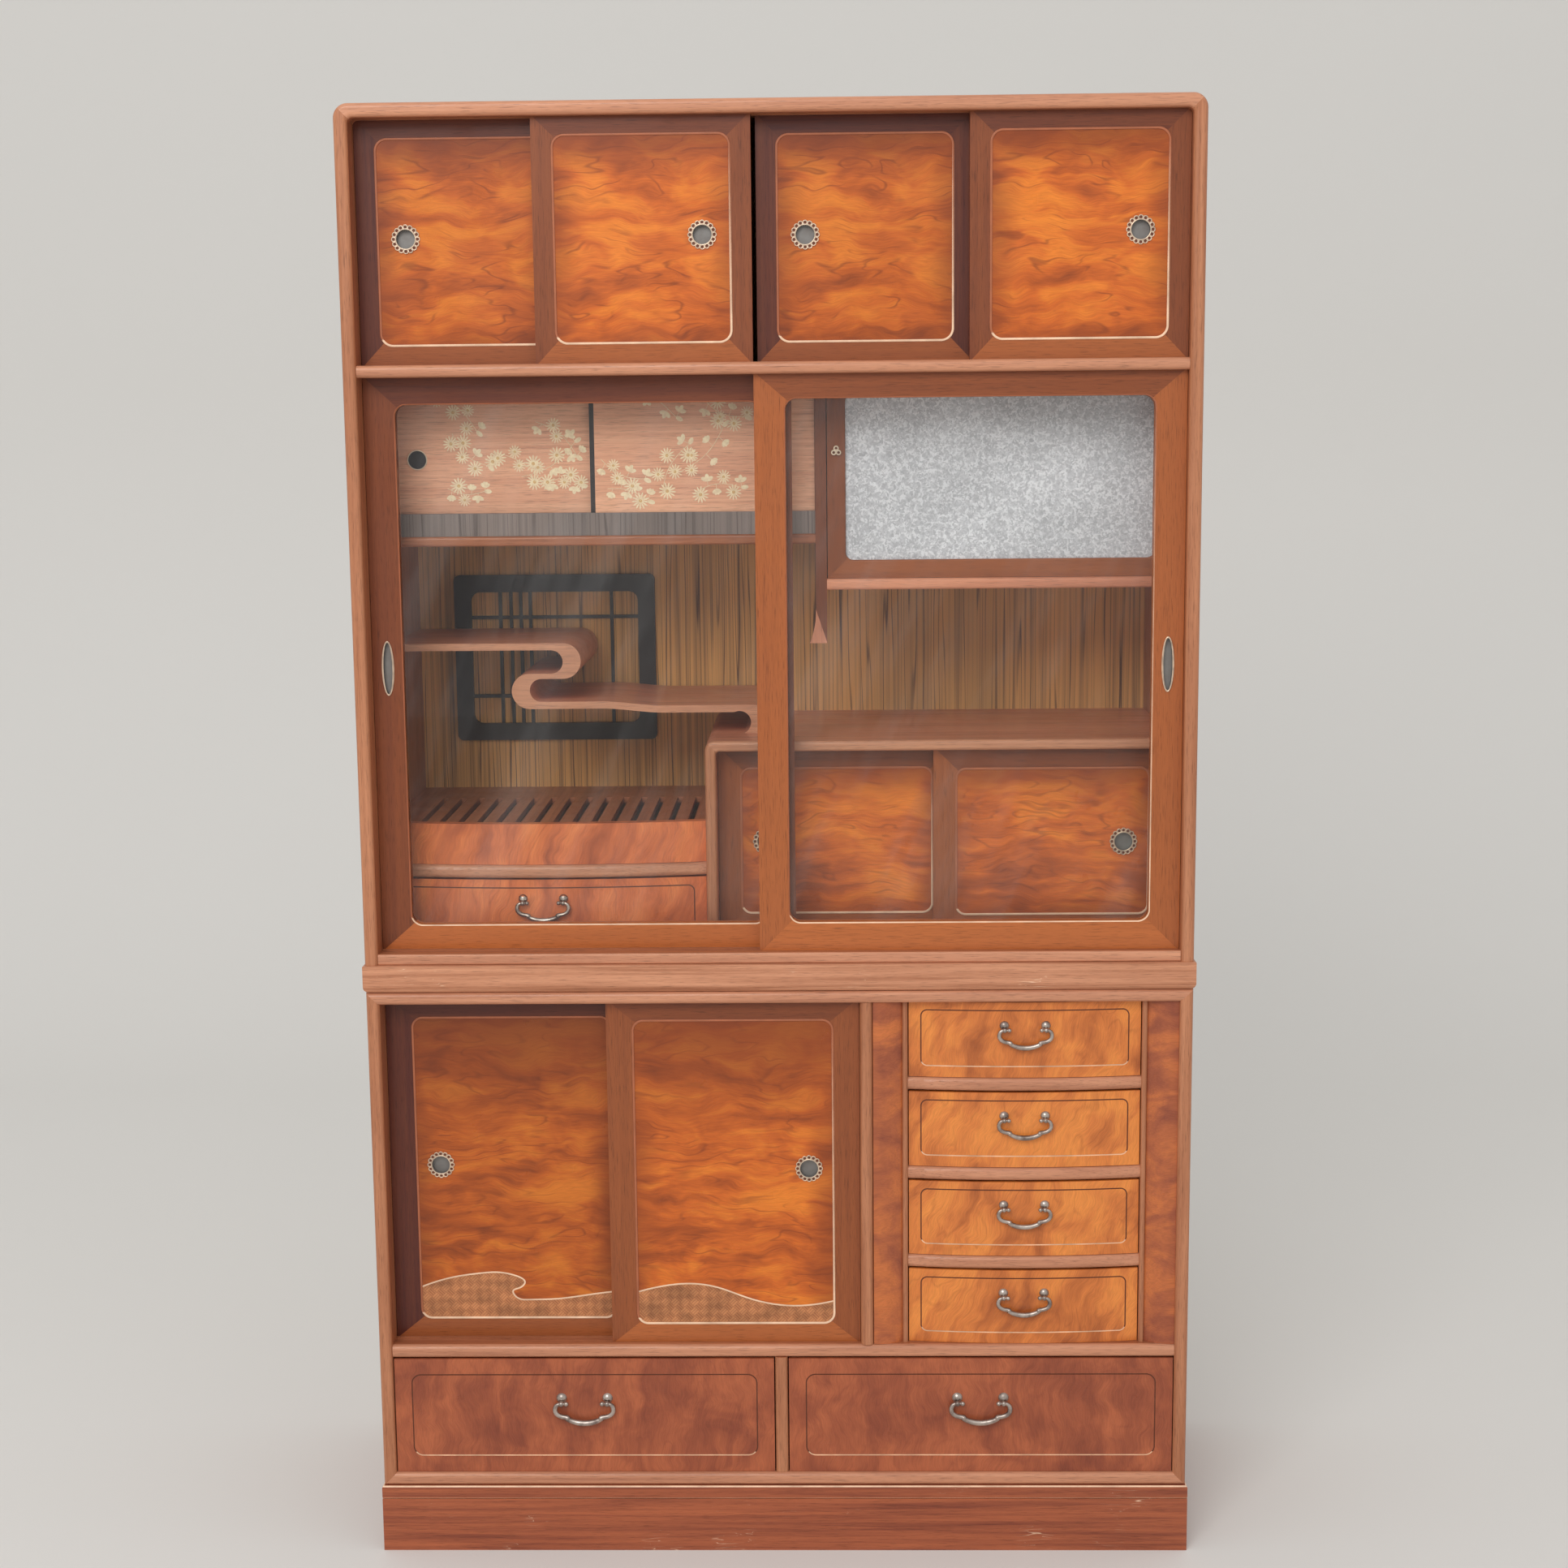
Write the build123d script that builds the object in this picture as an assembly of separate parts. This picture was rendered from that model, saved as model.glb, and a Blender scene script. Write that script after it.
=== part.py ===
from build123d import *
import os

os.makedirs("parts", exist_ok=True)

# Lengths are millimetres and angles are degrees. x runs to the right, y runs into
# the cabinet and z runs up from the floor. A depth is measured behind the front
# plane of the case.

# Case
case_width = 1060.0
case_depth = 410.0
board = 17.0
corner_outer_radius = 18.0
corner_inner_radius = 7.0
edge_radius = 6.0
back_panel_thickness = 6.0
back_panel_inset = 4.0
sliding_gap = 0.3
side_gap = 0.5

# Heights of the stack
plinth_height = 90.0
lower_height = 670.0
slab_height = 36.0
upper_height = 1072.0

# Plinth and slab
plinth_board = 18.0
plinth_moulding = 18.0
plinth_moulding_round = 3.0
plinth_proud = 2.3
slab_proud = 2.5
slab_moulding_width = 45.0
slab_panel_thickness = 12.0
slab_lower_round = 9.0
slab_upper_round = 1.0

# Sliding tracks: each pair of doors runs in a front and a rear groove
front_track_depth = 18.0
door_thickness = 17.0
track_ridge = 4.0
lower_groove = 3.0
upper_groove = 7.0
upper_groove_reach = 3.0

# Top row
shelf_board = 15.0
shelf_setback = 4.0
glass_bay_height = 729.0
top_door_width = 268.5
top_stile = 24.5
top_upper_rail = 21.0
top_lower_rail = 23.0
top_corner_radius = 16.0
top_pull_inset = 60.4
top_pull_height = 154.0
second_door_slack = 31.5
third_door_slack = 10.0

# Glass doors
sill_board = 14.0
sill_round = 2.5
glass_door_width = 535.5
glass_stile = 39.0
left_glass_upper_rail = 33.5
left_glass_lower_rail = 31.5
right_glass_upper_rail = 30.5
right_glass_lower_rail = 36.5
glass_corner_radius = 14.0
pane_thickness = 3.0
pane_rebate = 6.0
oval_pull_height = 365.0

# Fittings inside the glass section
fitting_depth = 80.0
cupboard_depth = 100.0
post_width = 14.5
post_left = 51.5
post_thickness = 14.0
post_drop = 68.5
post_foot_width = 22.5
post_foot_height = 44.0
post_flare = 1.6
left_cupboard_height = 172.0
left_sill_height = 29.0
left_sill_depth = 34.0
left_shelf_board = 13.0
right_cupboard_height = 259.0
right_shelf_board = 14.5
cupboard_setback = 3.0
cupboard_round = 4.0

# Blossom doors
blossom_thickness = 9.0
blossom_ridge = 3.0
blossom_groove = 3.0
blossom_upper_groove = 5.0
blossom_reach = 3.0
blossom_edge = 6.0
blossom_overlap = 12.0
blossom_pull_inset = 52.0
blossom_pull_height = 69.0

# Frosted door
frosted_thickness = 15.0
frosted_left_stile = 24.5
frosted_right_stile = 26.5
frosted_upper_rail = 25.0
frosted_lower_rail = 23.5
frosted_corner_radius = 10.0
frosted_clearance = 1.0
pivot_radius = 2.0
pivot_clearance = 0.06
pivot_inset = 8.5
pivot_length = 7.0
knob_height = 163.0
knob_ring_radius = 3.4
knob_ring_spread = 3.06
knob_ring_drop = 2.295
knob_ring_hole = 1.8
knob_reach = 4.0

# Counter and the bay beside it
counter_top_height = 262.5
counter_board_thickness = 14.0
counter_side_thickness = 15.0
counter_left = -94.0
counter_corner_radius = 13.0
counter_inner_radius = 4.0
counter_edge_radius = 5.0
small_door_setback = 18.0
small_door_thickness = 13.0
small_door_ridge = 3.0
small_door_groove = 3.0
small_door_upper_groove = 5.0
small_door_reach = 3.0
small_door_width = 310.0
small_stile = 28.5
small_upper_rail = 25.0
small_lower_rail = 27.5
small_corner_radius = 14.0
small_pull_inset = 62.5
small_pull_height = 125.0

bay_bow = 18.0
bay_drawer_height = 83.0
bay_board_thickness = 18.0
bay_fascia_height = 54.0
bay_fascia_thickness = 15.0
bay_fascia_setback = 4.0
bay_board_round = 6.8
rack_thickness = 8.0
rack_slat = 16.8
rack_gap = 8.34
rack_rear_board = 100.0
rack_bearer = 15.0

# Cloud shelf
cloud_depth = 162.0
cloud_upper = 384.0
cloud_middle = 343.5
cloud_lower = 306.0
cloud_step = 300.0
cloud_thickness = 9.5
cloud_middle_thickness = 7.0
cloud_right = -260.5
cloud_left = -353.0
cloud_bend = 24.0
cloud_fall_start = -235.0
cloud_fall_end = -150.0
cloud_hook = -14.0
cloud_hook_thickness = 22.0
cloud_foot = -45.0
cloud_foot_width = 20.0

# Lattice window
lattice_inset = 50.0
lattice_width = 284.5
lattice_base = 224.0
lattice_height = 235.0
lattice_band = 24.0
lattice_thickness = 8.0
lattice_outer_radius = 8.0
lattice_inner_radius = 13.0
lattice_bar = 4.5
lattice_bar_thickness = 5.0
lattice_uprights = [65.0, 80.0, 94.0, 107.5, 223.0]
lattice_crossbars = [62.8, 175.1]

# Lower case
lower_rail_height = 16.0
base_opening_height = 159.0
mid_shelf_board = 17.0
lower_door_width = 327.0
lower_stile = 33.0
lower_upper_rail = 24.5
lower_lower_rail = 24.0
lower_corner_radius = 15.0
lower_pull_inset = 66.0
lower_pull_height = 236.5
divider_left = 104.0
divider_board = 17.0
divider_round = 8.0
pilaster_thickness = 11.0
pilaster_front = 7.0
pilaster_back = 18.0
pilaster_bulge = 3.5
guide_thickness = 7.0
guide_setback = 14.0
guide_round = 3.0
left_pilaster_width = 38.0
right_pilaster_width = 39.0

# Bow-front drawers
bow_drawer_count = 4
drawer_bow = 10.0
drawer_rail_height = 18.0
drawer_rail_front = 6.5
drawer_rail_round = 7.0
drawer_face_setback = 3.0

# Drawer boxes
drawer_front_thickness = 18.0
drawer_side = 9.0
drawer_bottom = 5.0
drawer_back_clearance = 22.0
drawer_side_clearance = 1.2
drawer_top_clearance = 2.0
drawer_side_drop = 8.0
base_drawer_setback = 6.0
base_divider_left = -9.5
inlay_width = 1.6
inlay_depth = 1.0
bow_inlay_side = 15.0
bow_inlay_top = 10.0
bow_inlay_bottom = 14.0
bow_inlay_radius = 9.0
base_inlay_side = 22.0
base_inlay_top = 21.0
base_inlay_bottom = 22.0
base_inlay_radius = 13.0

# Doors: beads and round pulls
bead_width = 2.8
bead_proud = 0.8
bead_round = 0.72
bead_depth = 3.0
panel_recess = 0.4
panel_thickness = 10.0
pull_petals = 16
pull_petal_radius = 3.3
pull_petal_circle = 14.7
pull_petal_hollow = 2.0
pull_hollow_depth = 0.8
pull_flange = 1.4
pull_rim_radius = 13.2
pull_rim_height = 2.0
pull_dish_radius = 11.6
pull_dish_depth = 6.0
pull_wall = 1.0
pull_fit = 0.1
plain_pull_radius = 13.0
plain_pull_dish_radius = 11.6
plain_pull_dish_depth = 4.0
oval_half_width = 8.0
oval_half_height = 35.0
oval_rim = 2.2
oval_flange = 1.2
oval_recess = 6.0

# Wave inlay of the lower doors
wave_line = 2.0

# Bails: the sizes of the larger bail; the smaller ones are scaled down whole
bail_half_post = 30.3
bail_half_width = 39.0
bail_half_grip = 23.0
bail_drop = 20.0
bail_grip_drop = 0.5
bail_sag = 6.0
bail_turn = 8.5
bail_bar_radius = 2.75
bail_grip_radius = 4.1
bail_ball_radius = 3.25
bail_pivot_drop = 5.0
bail_pivot_radius = 1.9
bail_pivot_clearance = 0.06
bail_eye_radius = 3.7
bail_stem_radius = 2.2
bail_standoff = 7.5
bail_seat = 1.0
bail_rosette_radius = 7.0
bail_rosette_height = 4.2
small_bail_scale = 0.875
base_bail_height = 102.5
bow_bail_height = 69.0
bay_bail_height = 55.5
bay_bail_shift = -5.0

# Places worked out from the sizes above
half_width = case_width / 2
inner_right = half_width - board
inner_left = -inner_right
back_depth = case_depth - back_panel_inset - back_panel_thickness
bail_reach = bail_standoff + max(bail_eye_radius, bail_grip_radius)
front_reach = max(slab_proud, plinth_proud, bail_reach - base_drawer_setback)
front_y = -(case_depth - front_reach) / 2

lower_base = plinth_height
lower_top = lower_base + lower_height
slab_top = lower_top + slab_height
total_height = slab_top + upper_height
sill_top = slab_top + sill_board
glass_ceiling = sill_top + glass_bay_height
top_floor = glass_ceiling + shelf_board
top_ceiling = total_height - board

rear_track_depth = front_track_depth + door_thickness + track_ridge
base_floor = lower_base + board
base_ceiling = base_floor + base_opening_height
lower_floor = base_ceiling + mid_shelf_board
lower_ceiling = lower_top - lower_rail_height

parts = {}


# Basic solids

def keep(name, *solids):
    """Add solids to a named sub-part."""
    found = parts.setdefault(name, [])
    for solid in solids:
        found.extend(solid.solids())


def block(x, depth, z):
    """A block between two x places, two depths and two heights."""
    corner = Pos(x[0], front_y + depth[0], z[0])
    size = (x[1] - x[0], depth[1] - depth[0], z[1] - z[0])
    return corner * Box(*size, align=(Align.MIN, Align.MIN, Align.MIN))


def prism(drawing, depth):
    """A drawing in x and z, made solid from one depth to another."""
    plane = Plane.XZ.offset(-(front_y + depth[1]))
    return extrude(plane * drawing, amount=depth[1] - depth[0])


def upright(drawing, z):
    """A drawing in x and y, made solid from one height to another."""
    return extrude(Plane.XY.offset(z[0]) * drawing, amount=z[1] - z[0])


def rectangle(x, z, radius=0.0):
    """A rectangle drawn in x and z, with rounded corners where a radius is given."""
    width, height = x[1] - x[0], z[1] - z[0]
    middle = Pos((x[0] + x[1]) / 2, (z[0] + z[1]) / 2)
    if radius > 0:
        return middle * RectangleRounded(width, height, radius)
    return middle * Rectangle(width, height)


def rounded_top(x, z, radius):
    """A rectangle drawn in x and z whose two upper corners are rounded."""
    drawing = rectangle(x, z)
    return fillet(drawing.vertices().group_by(Axis.Y)[-1], radius)


def half_turn(edge, first, last, way):
    """A half circle that bulges to an edge, to the right where way is 1."""
    centre = edge - way * abs(first - last) / 2
    return ThreePointArc((centre, first), (edge, (first + last) / 2), (centre, last))


def front_edges(solid, direction):
    """The edges of a solid that run one way along its front."""
    return solid.edges().filter_by(direction).group_by(Axis.Y)[0]


def nosed(solid, direction, radius):
    """A board with its two long front edges rounded."""
    return fillet(front_edges(solid, direction), radius)


def corner_cut(outer, inner, reach=1.0):
    """The point where a mitre that runs from an outer to an inner corner ends."""
    run = (inner[0] - outer[0], inner[1] - outer[1])
    return (inner[0] + run[0] * reach, inner[1] + run[1] * reach)


def mitre_wedges(x, z, inner_x, inner_z, depth, reach=0.4):
    """The left, right, lower and upper parts that mitres divide a frame into."""
    corners = {}
    for side in (0, 1):
        for level in (0, 1):
            outer = (x[side], z[level])
            inner = (inner_x[side], inner_z[level])
            corners[side, level] = (outer, corner_cut(outer, inner, reach))
    order = [((0, 0), (0, 1)), ((1, 0), (1, 1)), ((0, 0), (1, 0)), ((0, 1), (1, 1))]
    wedges = []
    for first, last in order:
        outline = [corners[first][0], corners[first][1], corners[last][1], corners[last][0]]
        wedges.append(prism(make_face(Polyline(*outline, close=True)), depth))
    return wedges


def mitred(plate, x, z, inner_x, inner_z, depth):
    """Cut a frame into its members along its mitres."""
    return [plate & wedge for wedge in mitre_wedges(x, z, inner_x, inner_z, depth)]


def bow_face(x, ends_depth, bow, back, z):
    """A block with a bowed front: its ends lie at one depth, its middle nearer."""
    left, right = (x[0], front_y + ends_depth), (x[1], front_y + ends_depth)
    middle = ((x[0] + x[1]) / 2, front_y + ends_depth - bow)
    rear_right, rear_left = (x[1], front_y + back), (x[0], front_y + back)
    if bow > 0:
        front = ThreePointArc(left, middle, right)
    else:
        front = Line(left, right)
    sides = Polyline(right, rear_right, rear_left, left)
    return upright(make_face([front, *sides.edges()]), z)


def grooves(board_solid, x, z, first_depth, thickness, ridge):
    """Cut a front and a rear track groove for a pair of sliding doors."""
    for track in (0, 1):
        start = first_depth + track * (thickness + ridge) - side_gap
        board_solid -= block(x, (start, start + thickness + 2 * side_gap), z)
    return board_solid


# Metal fittings

def scalloped_pull():
    """A round flush pull with a petalled flange, its face at y 0, facing -y."""
    flange = Sketch() + Circle(pull_petal_circle)
    hollows = Sketch()
    for petal in PolarLocations(pull_petal_circle, pull_petals):
        flange += petal * Circle(pull_petal_radius)
        hollows += petal * Circle(pull_petal_hollow)
    body = extrude(Plane.XZ * flange, amount=pull_flange)
    body -= extrude(Plane.XZ.offset(pull_flange - pull_hollow_depth) * hollows, amount=pull_flange)
    body += extrude(Plane.XZ * Circle(pull_rim_radius), amount=pull_rim_height)
    cup_outer = pull_dish_radius + pull_wall
    body += extrude(Plane.XZ * Circle(cup_outer), amount=-pull_dish_depth - pull_wall)
    body -= extrude(Plane.XZ.offset(pull_rim_height) * Circle(pull_dish_radius),
                    amount=-pull_dish_depth - pull_rim_height)
    return body


def plain_pull():
    """A round flush pull with a thin plain rim, its face at y 0, facing -y."""
    body = extrude(Plane.XZ * Circle(plain_pull_radius), amount=pull_flange)
    cup_outer = plain_pull_dish_radius + pull_wall
    body += extrude(Plane.XZ * Circle(cup_outer), amount=-plain_pull_dish_depth - pull_wall)
    body -= extrude(Plane.XZ.offset(pull_flange) * Circle(plain_pull_dish_radius),
                    amount=-plain_pull_dish_depth - pull_flange)
    return body


def oval_pull():
    """An oval flush pull, its face at y 0, facing -y."""
    cup_half_width = oval_half_width - oval_rim / 2
    cup_half_height = oval_half_height - oval_rim / 2
    body = extrude(Plane.XZ * Ellipse(oval_half_width, oval_half_height), amount=oval_flange)
    body += extrude(Plane.XZ * Ellipse(cup_half_width, cup_half_height),
                    amount=-oval_recess - pull_wall)
    dish = Ellipse(oval_half_width - oval_rim, oval_half_height - oval_rim)
    body -= extrude(Plane.XZ.offset(oval_flange) * dish, amount=-oval_recess - oval_flange)
    return body


def ring_knob():
    """Three small joined rings on a short stem, the stem's foot at y 0."""
    run, drop = knob_ring_spread, knob_ring_drop
    places = [Pos(0, run), Pos(-run, -drop), Pos(run, -drop)]
    drawing = Sketch() + [place * Circle(knob_ring_radius) for place in places]
    drawing -= [place * Circle(knob_ring_hole) for place in places]
    plate = extrude(Plane.XZ.offset(knob_reach / 2) * drawing, amount=knob_reach / 2)
    return plate + extrude(Plane.XZ * Circle(knob_ring_hole), amount=knob_reach / 2)


pulls = {"scalloped": scalloped_pull(), "plain": plain_pull(), "oval": oval_pull()}


def place_pull(kind, x, depth, z):
    """Put a pull's face at a depth."""
    return Pos(x, front_y + depth, z) * pulls[kind]


def pull_pocket(kind, x, depth, z):
    """The hole that a pull's cup fits."""
    if kind == "oval":
        half_width, half_height = oval_half_width - oval_rim / 2, oval_half_height - oval_rim / 2
        outline = Ellipse(half_width + pull_fit, half_height + pull_fit)
        reach = oval_recess + pull_wall
    elif kind == "plain":
        outline = Circle(plain_pull_dish_radius + pull_wall + pull_fit)
        reach = plain_pull_dish_depth + pull_wall
    else:
        outline = Circle(pull_dish_radius + pull_wall + pull_fit)
        reach = pull_dish_depth + pull_wall
    return prism(Pos(x, z) * outline, (depth - 1, depth + reach + pull_fit))


def bail_ring():
    """A drop handle whose pivots lie on the x axis, hanging down in the xz plane."""
    pin_start = bail_half_post - bail_eye_radius
    pin_end = bail_half_post + bail_eye_radius + sliding_gap
    level = bail_turn - bail_drop
    grip_end = bail_half_grip
    ring = None
    for side in (-1, 1):
        start = (side * pin_end, 0)
        upper_end = (side * bail_half_width, pin_end - bail_half_width)
        lower_start = (side * bail_half_width, level)
        lower_end = (side * (bail_half_width - bail_turn), -bail_drop)
        upper = TangentArc(start, upper_end, tangent=(side, 0))
        drop = Line(upper_end, lower_start)
        lower = TangentArc(lower_start, lower_end, tangent=(0, -1))
        inward = Line(lower_end, (side * (grip_end - 1), -bail_drop))
        section = Plane(origin=(start[0], 0, 0), z_dir=(side, 0, 0)) * Circle(bail_bar_radius)
        curl = sweep(section, path=Plane.XZ * Wire([upper, drop, lower, inward]))
        pin_length = pin_end + 1 - pin_start + bail_ball_radius
        pin = Rot(0, 90, 0) * Cylinder(bail_pivot_radius, pin_length)
        curl += Pos(side * (pin_end + 1 - pin_length / 2), 0, 0) * pin
        curl += Pos(side * (pin_start - bail_ball_radius + 0.3), 0, 0) * Sphere(bail_ball_radius)
        ring = curl if ring is None else ring + curl
    ends_level = -bail_drop - bail_grip_drop
    grip = ThreePointArc((-grip_end, ends_level), (0, ends_level - bail_sag), (grip_end, ends_level))
    run = grip % 0
    section = Plane(origin=(-grip_end, 0, ends_level), z_dir=(run.X, 0, run.Y)) * Circle(bail_grip_radius)
    return ring + sweep(section, path=Plane.XZ * grip)


def bail_posts():
    """Two domed rosettes with eyes that the ring's pivots turn in, face at y 0."""
    posts = []
    for side in (-1, 1):
        x = side * bail_half_post
        cap = (bail_rosette_radius**2 + bail_rosette_height**2) / (2 * bail_rosette_height)
        dome = Pos(x, cap - bail_rosette_height, 0) * Rot(90, 0, 0) * Sphere(cap)
        reach = bail_rosette_height + bail_seat
        dome &= Pos(x, bail_seat - reach / 2, 0) * Box(4 * cap, reach, 4 * cap)
        stem = Pos(x, bail_seat - bail_standoff / 2, -bail_pivot_drop) * Rot(90, 0, 0)
        stem = stem * Cylinder(bail_stem_radius, bail_standoff)
        pivot = Pos(x, -bail_standoff, -bail_pivot_drop) * Rot(0, 90, 0)
        eye = pivot * Sphere(bail_eye_radius)
        hole = pivot * Cylinder(bail_pivot_radius + bail_pivot_clearance, 4 * bail_eye_radius)
        posts.append(dome + stem + eye - hole)
    return posts


def bail_at(size):
    """The ring and the posts of a bail, made larger or smaller whole."""
    return scale(bail_ring(), size), [scale(post, size) for post in bail_posts()]


bails = {size: bail_at(size) for size in (1.0, small_bail_scale)}


def fit_bail(drawer, x, face_depth, z, size, front):
    """Hang a bail on a drawer's front: posts seated on it, the ring in its own part."""
    ring, posts = bails[size]
    face = Pos(x, front_y + face_depth, z)
    keep(drawer, *[face * post - front for post in posts])
    hang = Pos(0, -bail_standoff * size, -bail_pivot_drop * size)
    keep(drawer.replace("drawer", "bail"), face * hang * ring)


# Doors

def panel_door(name, x, z, depth, thickness, stile, rails, radius, pull):
    """Four mitred members, a bead and a round pull; returns the panel that they hold."""
    inner_x = (x[0] + stile, x[1] - stile)
    inner_z = (z[0] + rails[0], z[1] - rails[1])
    faces = (depth, depth + thickness)
    plate = block(x, faces, z) - prism(rectangle(inner_x, inner_z, radius), faces)
    hole_x = (inner_x[0] + bead_width, inner_x[1] - bead_width)
    hole_z = (inner_z[0] + bead_width, inner_z[1] - bead_width)
    ring = rectangle(inner_x, inner_z, radius) - rectangle(hole_x, hole_z, radius - bead_width)
    bead = prism(ring, (depth - bead_proud, depth + bead_depth))
    bead = fillet(bead.edges().group_by(Axis.Y)[0], bead_round)
    panel_front, rebate = depth + panel_recess, depth + bead_depth
    field = prism(rectangle(hole_x, hole_z, radius - bead_width), (panel_front, rebate))
    field += prism(rectangle(inner_x, inner_z, radius), (rebate, depth + panel_thickness))
    place = (pull[0], panel_front, pull[1])
    keep(name, *mitred(plate, x, z, inner_x, inner_z, faces))
    keep(name, bead)
    keep(name, place_pull("scalloped", *place))
    return field - pull_pocket("scalloped", *place)


def glazed_door(name, x, z, depth, thickness, stiles, rails, radius):
    """A framed glass door: four mitred members rebated for a pane, and the pane."""
    inner_x = (x[0] + stiles[0], x[1] - stiles[1])
    inner_z = (z[0] + rails[0], z[1] - rails[1])
    faces = (depth, depth + thickness)
    plate = block(x, faces, z) - prism(rectangle(inner_x, inner_z, radius), faces)
    middle = depth + thickness / 2
    slot = (middle - pane_thickness / 2, middle + pane_thickness / 2)
    pane_x = (inner_x[0] - pane_rebate, inner_x[1] + pane_rebate)
    pane_z = (inner_z[0] - pane_rebate, inner_z[1] + pane_rebate)
    pane = block(pane_x, slot, pane_z)
    plate -= pane
    front_rim = plate.edges().group_by(Axis.Y)[0].filter_by(
        lambda edge: x[0] + 1 < edge.center().X < x[1] - 1 and z[0] + 1 < edge.center().Z < z[1] - 1)
    plate = fillet(front_rim, 2.0)
    members = mitred(plate, x, z, inner_x, inner_z, faces)
    keep(name.replace("_door", "_pane"), pane)
    return members


# Upper case

def upper_case():
    """The mitred top and sides, the bottom, the shelf and the back."""
    inside = (inner_left, inner_right)
    outer = rounded_top((-half_width, half_width), (slab_top, total_height), corner_outer_radius)
    inner = rounded_top(inside, (slab_top - 1, top_ceiling), corner_inner_radius)
    hoop = prism(outer - inner, (0, case_depth))
    rim = hoop.edges().group_by(Axis.Y)[0].filter_by(lambda edge: edge.center().Z > slab_top + 0.01)
    hoop = fillet(rim, edge_radius)
    hoop = grooves(hoop, inside, (top_ceiling - corner_inner_radius, top_ceiling + upper_groove),
                   front_track_depth, door_thickness, track_ridge)
    mitre = 3 * board
    outline = [(-half_width, total_height), (-half_width + mitre, total_height - mitre),
               (half_width - mitre, total_height - mitre), (half_width, total_height)]
    cap = prism(make_face(Polyline(*outline, close=True)), (0, case_depth))
    sides = (hoop - cap).solids().sort_by(Axis.X)
    keep("upper_top_board", hoop & cap)
    keep("upper_side_left", sides[0])
    keep("upper_side_right", sides[-1])
    panel = rounded_top(inside, (slab_top, top_ceiling), corner_inner_radius)
    keep("upper_back_panel", prism(panel, (back_depth, back_depth + back_panel_thickness)))

    bottom = nosed(block(inside, (shelf_setback, back_depth), (slab_top, sill_top)), Axis.X, sill_round)
    bottom = grooves(bottom, inside, (sill_top - lower_groove, sill_top),
                     front_track_depth, door_thickness, track_ridge)
    under_counter = (counter_left + counter_side_thickness, inner_right)
    bottom = grooves(bottom, under_counter, (sill_top - small_door_groove, sill_top),
                     fitting_depth + small_door_setback, small_door_thickness, small_door_ridge)
    keep("upper_bottom_board", bottom)

    shelf = block(inside, (shelf_setback, back_depth), (glass_ceiling, top_floor))
    shelf = nosed(shelf, Axis.X, edge_radius)
    shelf = grooves(shelf, inside, (top_floor - lower_groove, top_floor),
                    front_track_depth, door_thickness, track_ridge)
    shelf = grooves(shelf, inside, (glass_ceiling, glass_ceiling + upper_groove),
                    front_track_depth, door_thickness, track_ridge)
    shelf = grooves(shelf, (inner_left, post_left), (glass_ceiling, glass_ceiling + blossom_upper_groove),
                    cupboard_depth + 2 * cupboard_setback, blossom_thickness, blossom_ridge)
    keep("upper_shelf", shelf - pivot_at(glass_ceiling), pivot_at(glass_ceiling))


def pivot_place():
    """Where the frosted door's pivots stand, in x and depth."""
    return inner_right - pivot_inset, cupboard_depth + cupboard_setback + frosted_thickness / 2


def pivot_at(level, clearance=0.0):
    """A pin of the frosted door's pivot, half of it above a level and half below."""
    x, depth = pivot_place()
    pin = Cylinder(pivot_radius + clearance, 2 * (pivot_length + clearance))
    return Pos(x, front_y + depth, level) * pin


def top_doors():
    """Four sliding doors, the first and third behind the second and fourth."""
    z = (top_floor - lower_groove + sliding_gap, top_ceiling + upper_groove_reach)
    rails = (top_lower_rail + lower_groove - sliding_gap, top_upper_rail + upper_groove_reach)
    pitch = (inner_right - inner_left - 2 * side_gap - top_door_width) / 3
    slack = [0, second_door_slack, third_door_slack, 0]
    for number in range(4):
        left = inner_left + side_gap + number * pitch - slack[number]
        x = (left, left + top_door_width)
        behind = number % 2 == 0
        depth = rear_track_depth if behind else front_track_depth
        pull_x = x[0] + top_pull_inset if behind else x[1] - top_pull_inset
        name = f"top_door_{number + 1}"
        keep(name, panel_door(name, x, z, depth, door_thickness, top_stile, rails, top_corner_radius,
                              (pull_x, top_floor + top_pull_height)))


def glass_doors():
    """The pair of large sliding glass doors with oval pulls in their outer stiles."""
    z = (sill_top - lower_groove + sliding_gap, glass_ceiling + upper_groove_reach)
    left_rails = (left_glass_lower_rail, left_glass_upper_rail)
    right_rails = (right_glass_lower_rail, right_glass_upper_rail)
    places = {"left_glass_door": (inner_left + side_gap, rear_track_depth, 1, left_rails),
              "right_glass_door": (inner_right - side_gap, front_track_depth, -1, right_rails)}
    for name, (outer, depth, way, (lower, upper)) in places.items():
        x = tuple(sorted((outer, outer + way * glass_door_width)))
        rails = (lower + lower_groove - sliding_gap, upper + upper_groove_reach)
        members = glazed_door(name, x, z, depth, door_thickness, (glass_stile, glass_stile),
                              rails, glass_corner_radius)
        place = (outer + way * glass_stile / 2, depth, sill_top + oval_pull_height)
        pocket = pull_pocket("oval", *place)
        keep(name, *[member - pocket for member in members])
        keep(name, place_pull("oval", *place))


# Fittings behind the glass doors

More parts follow.
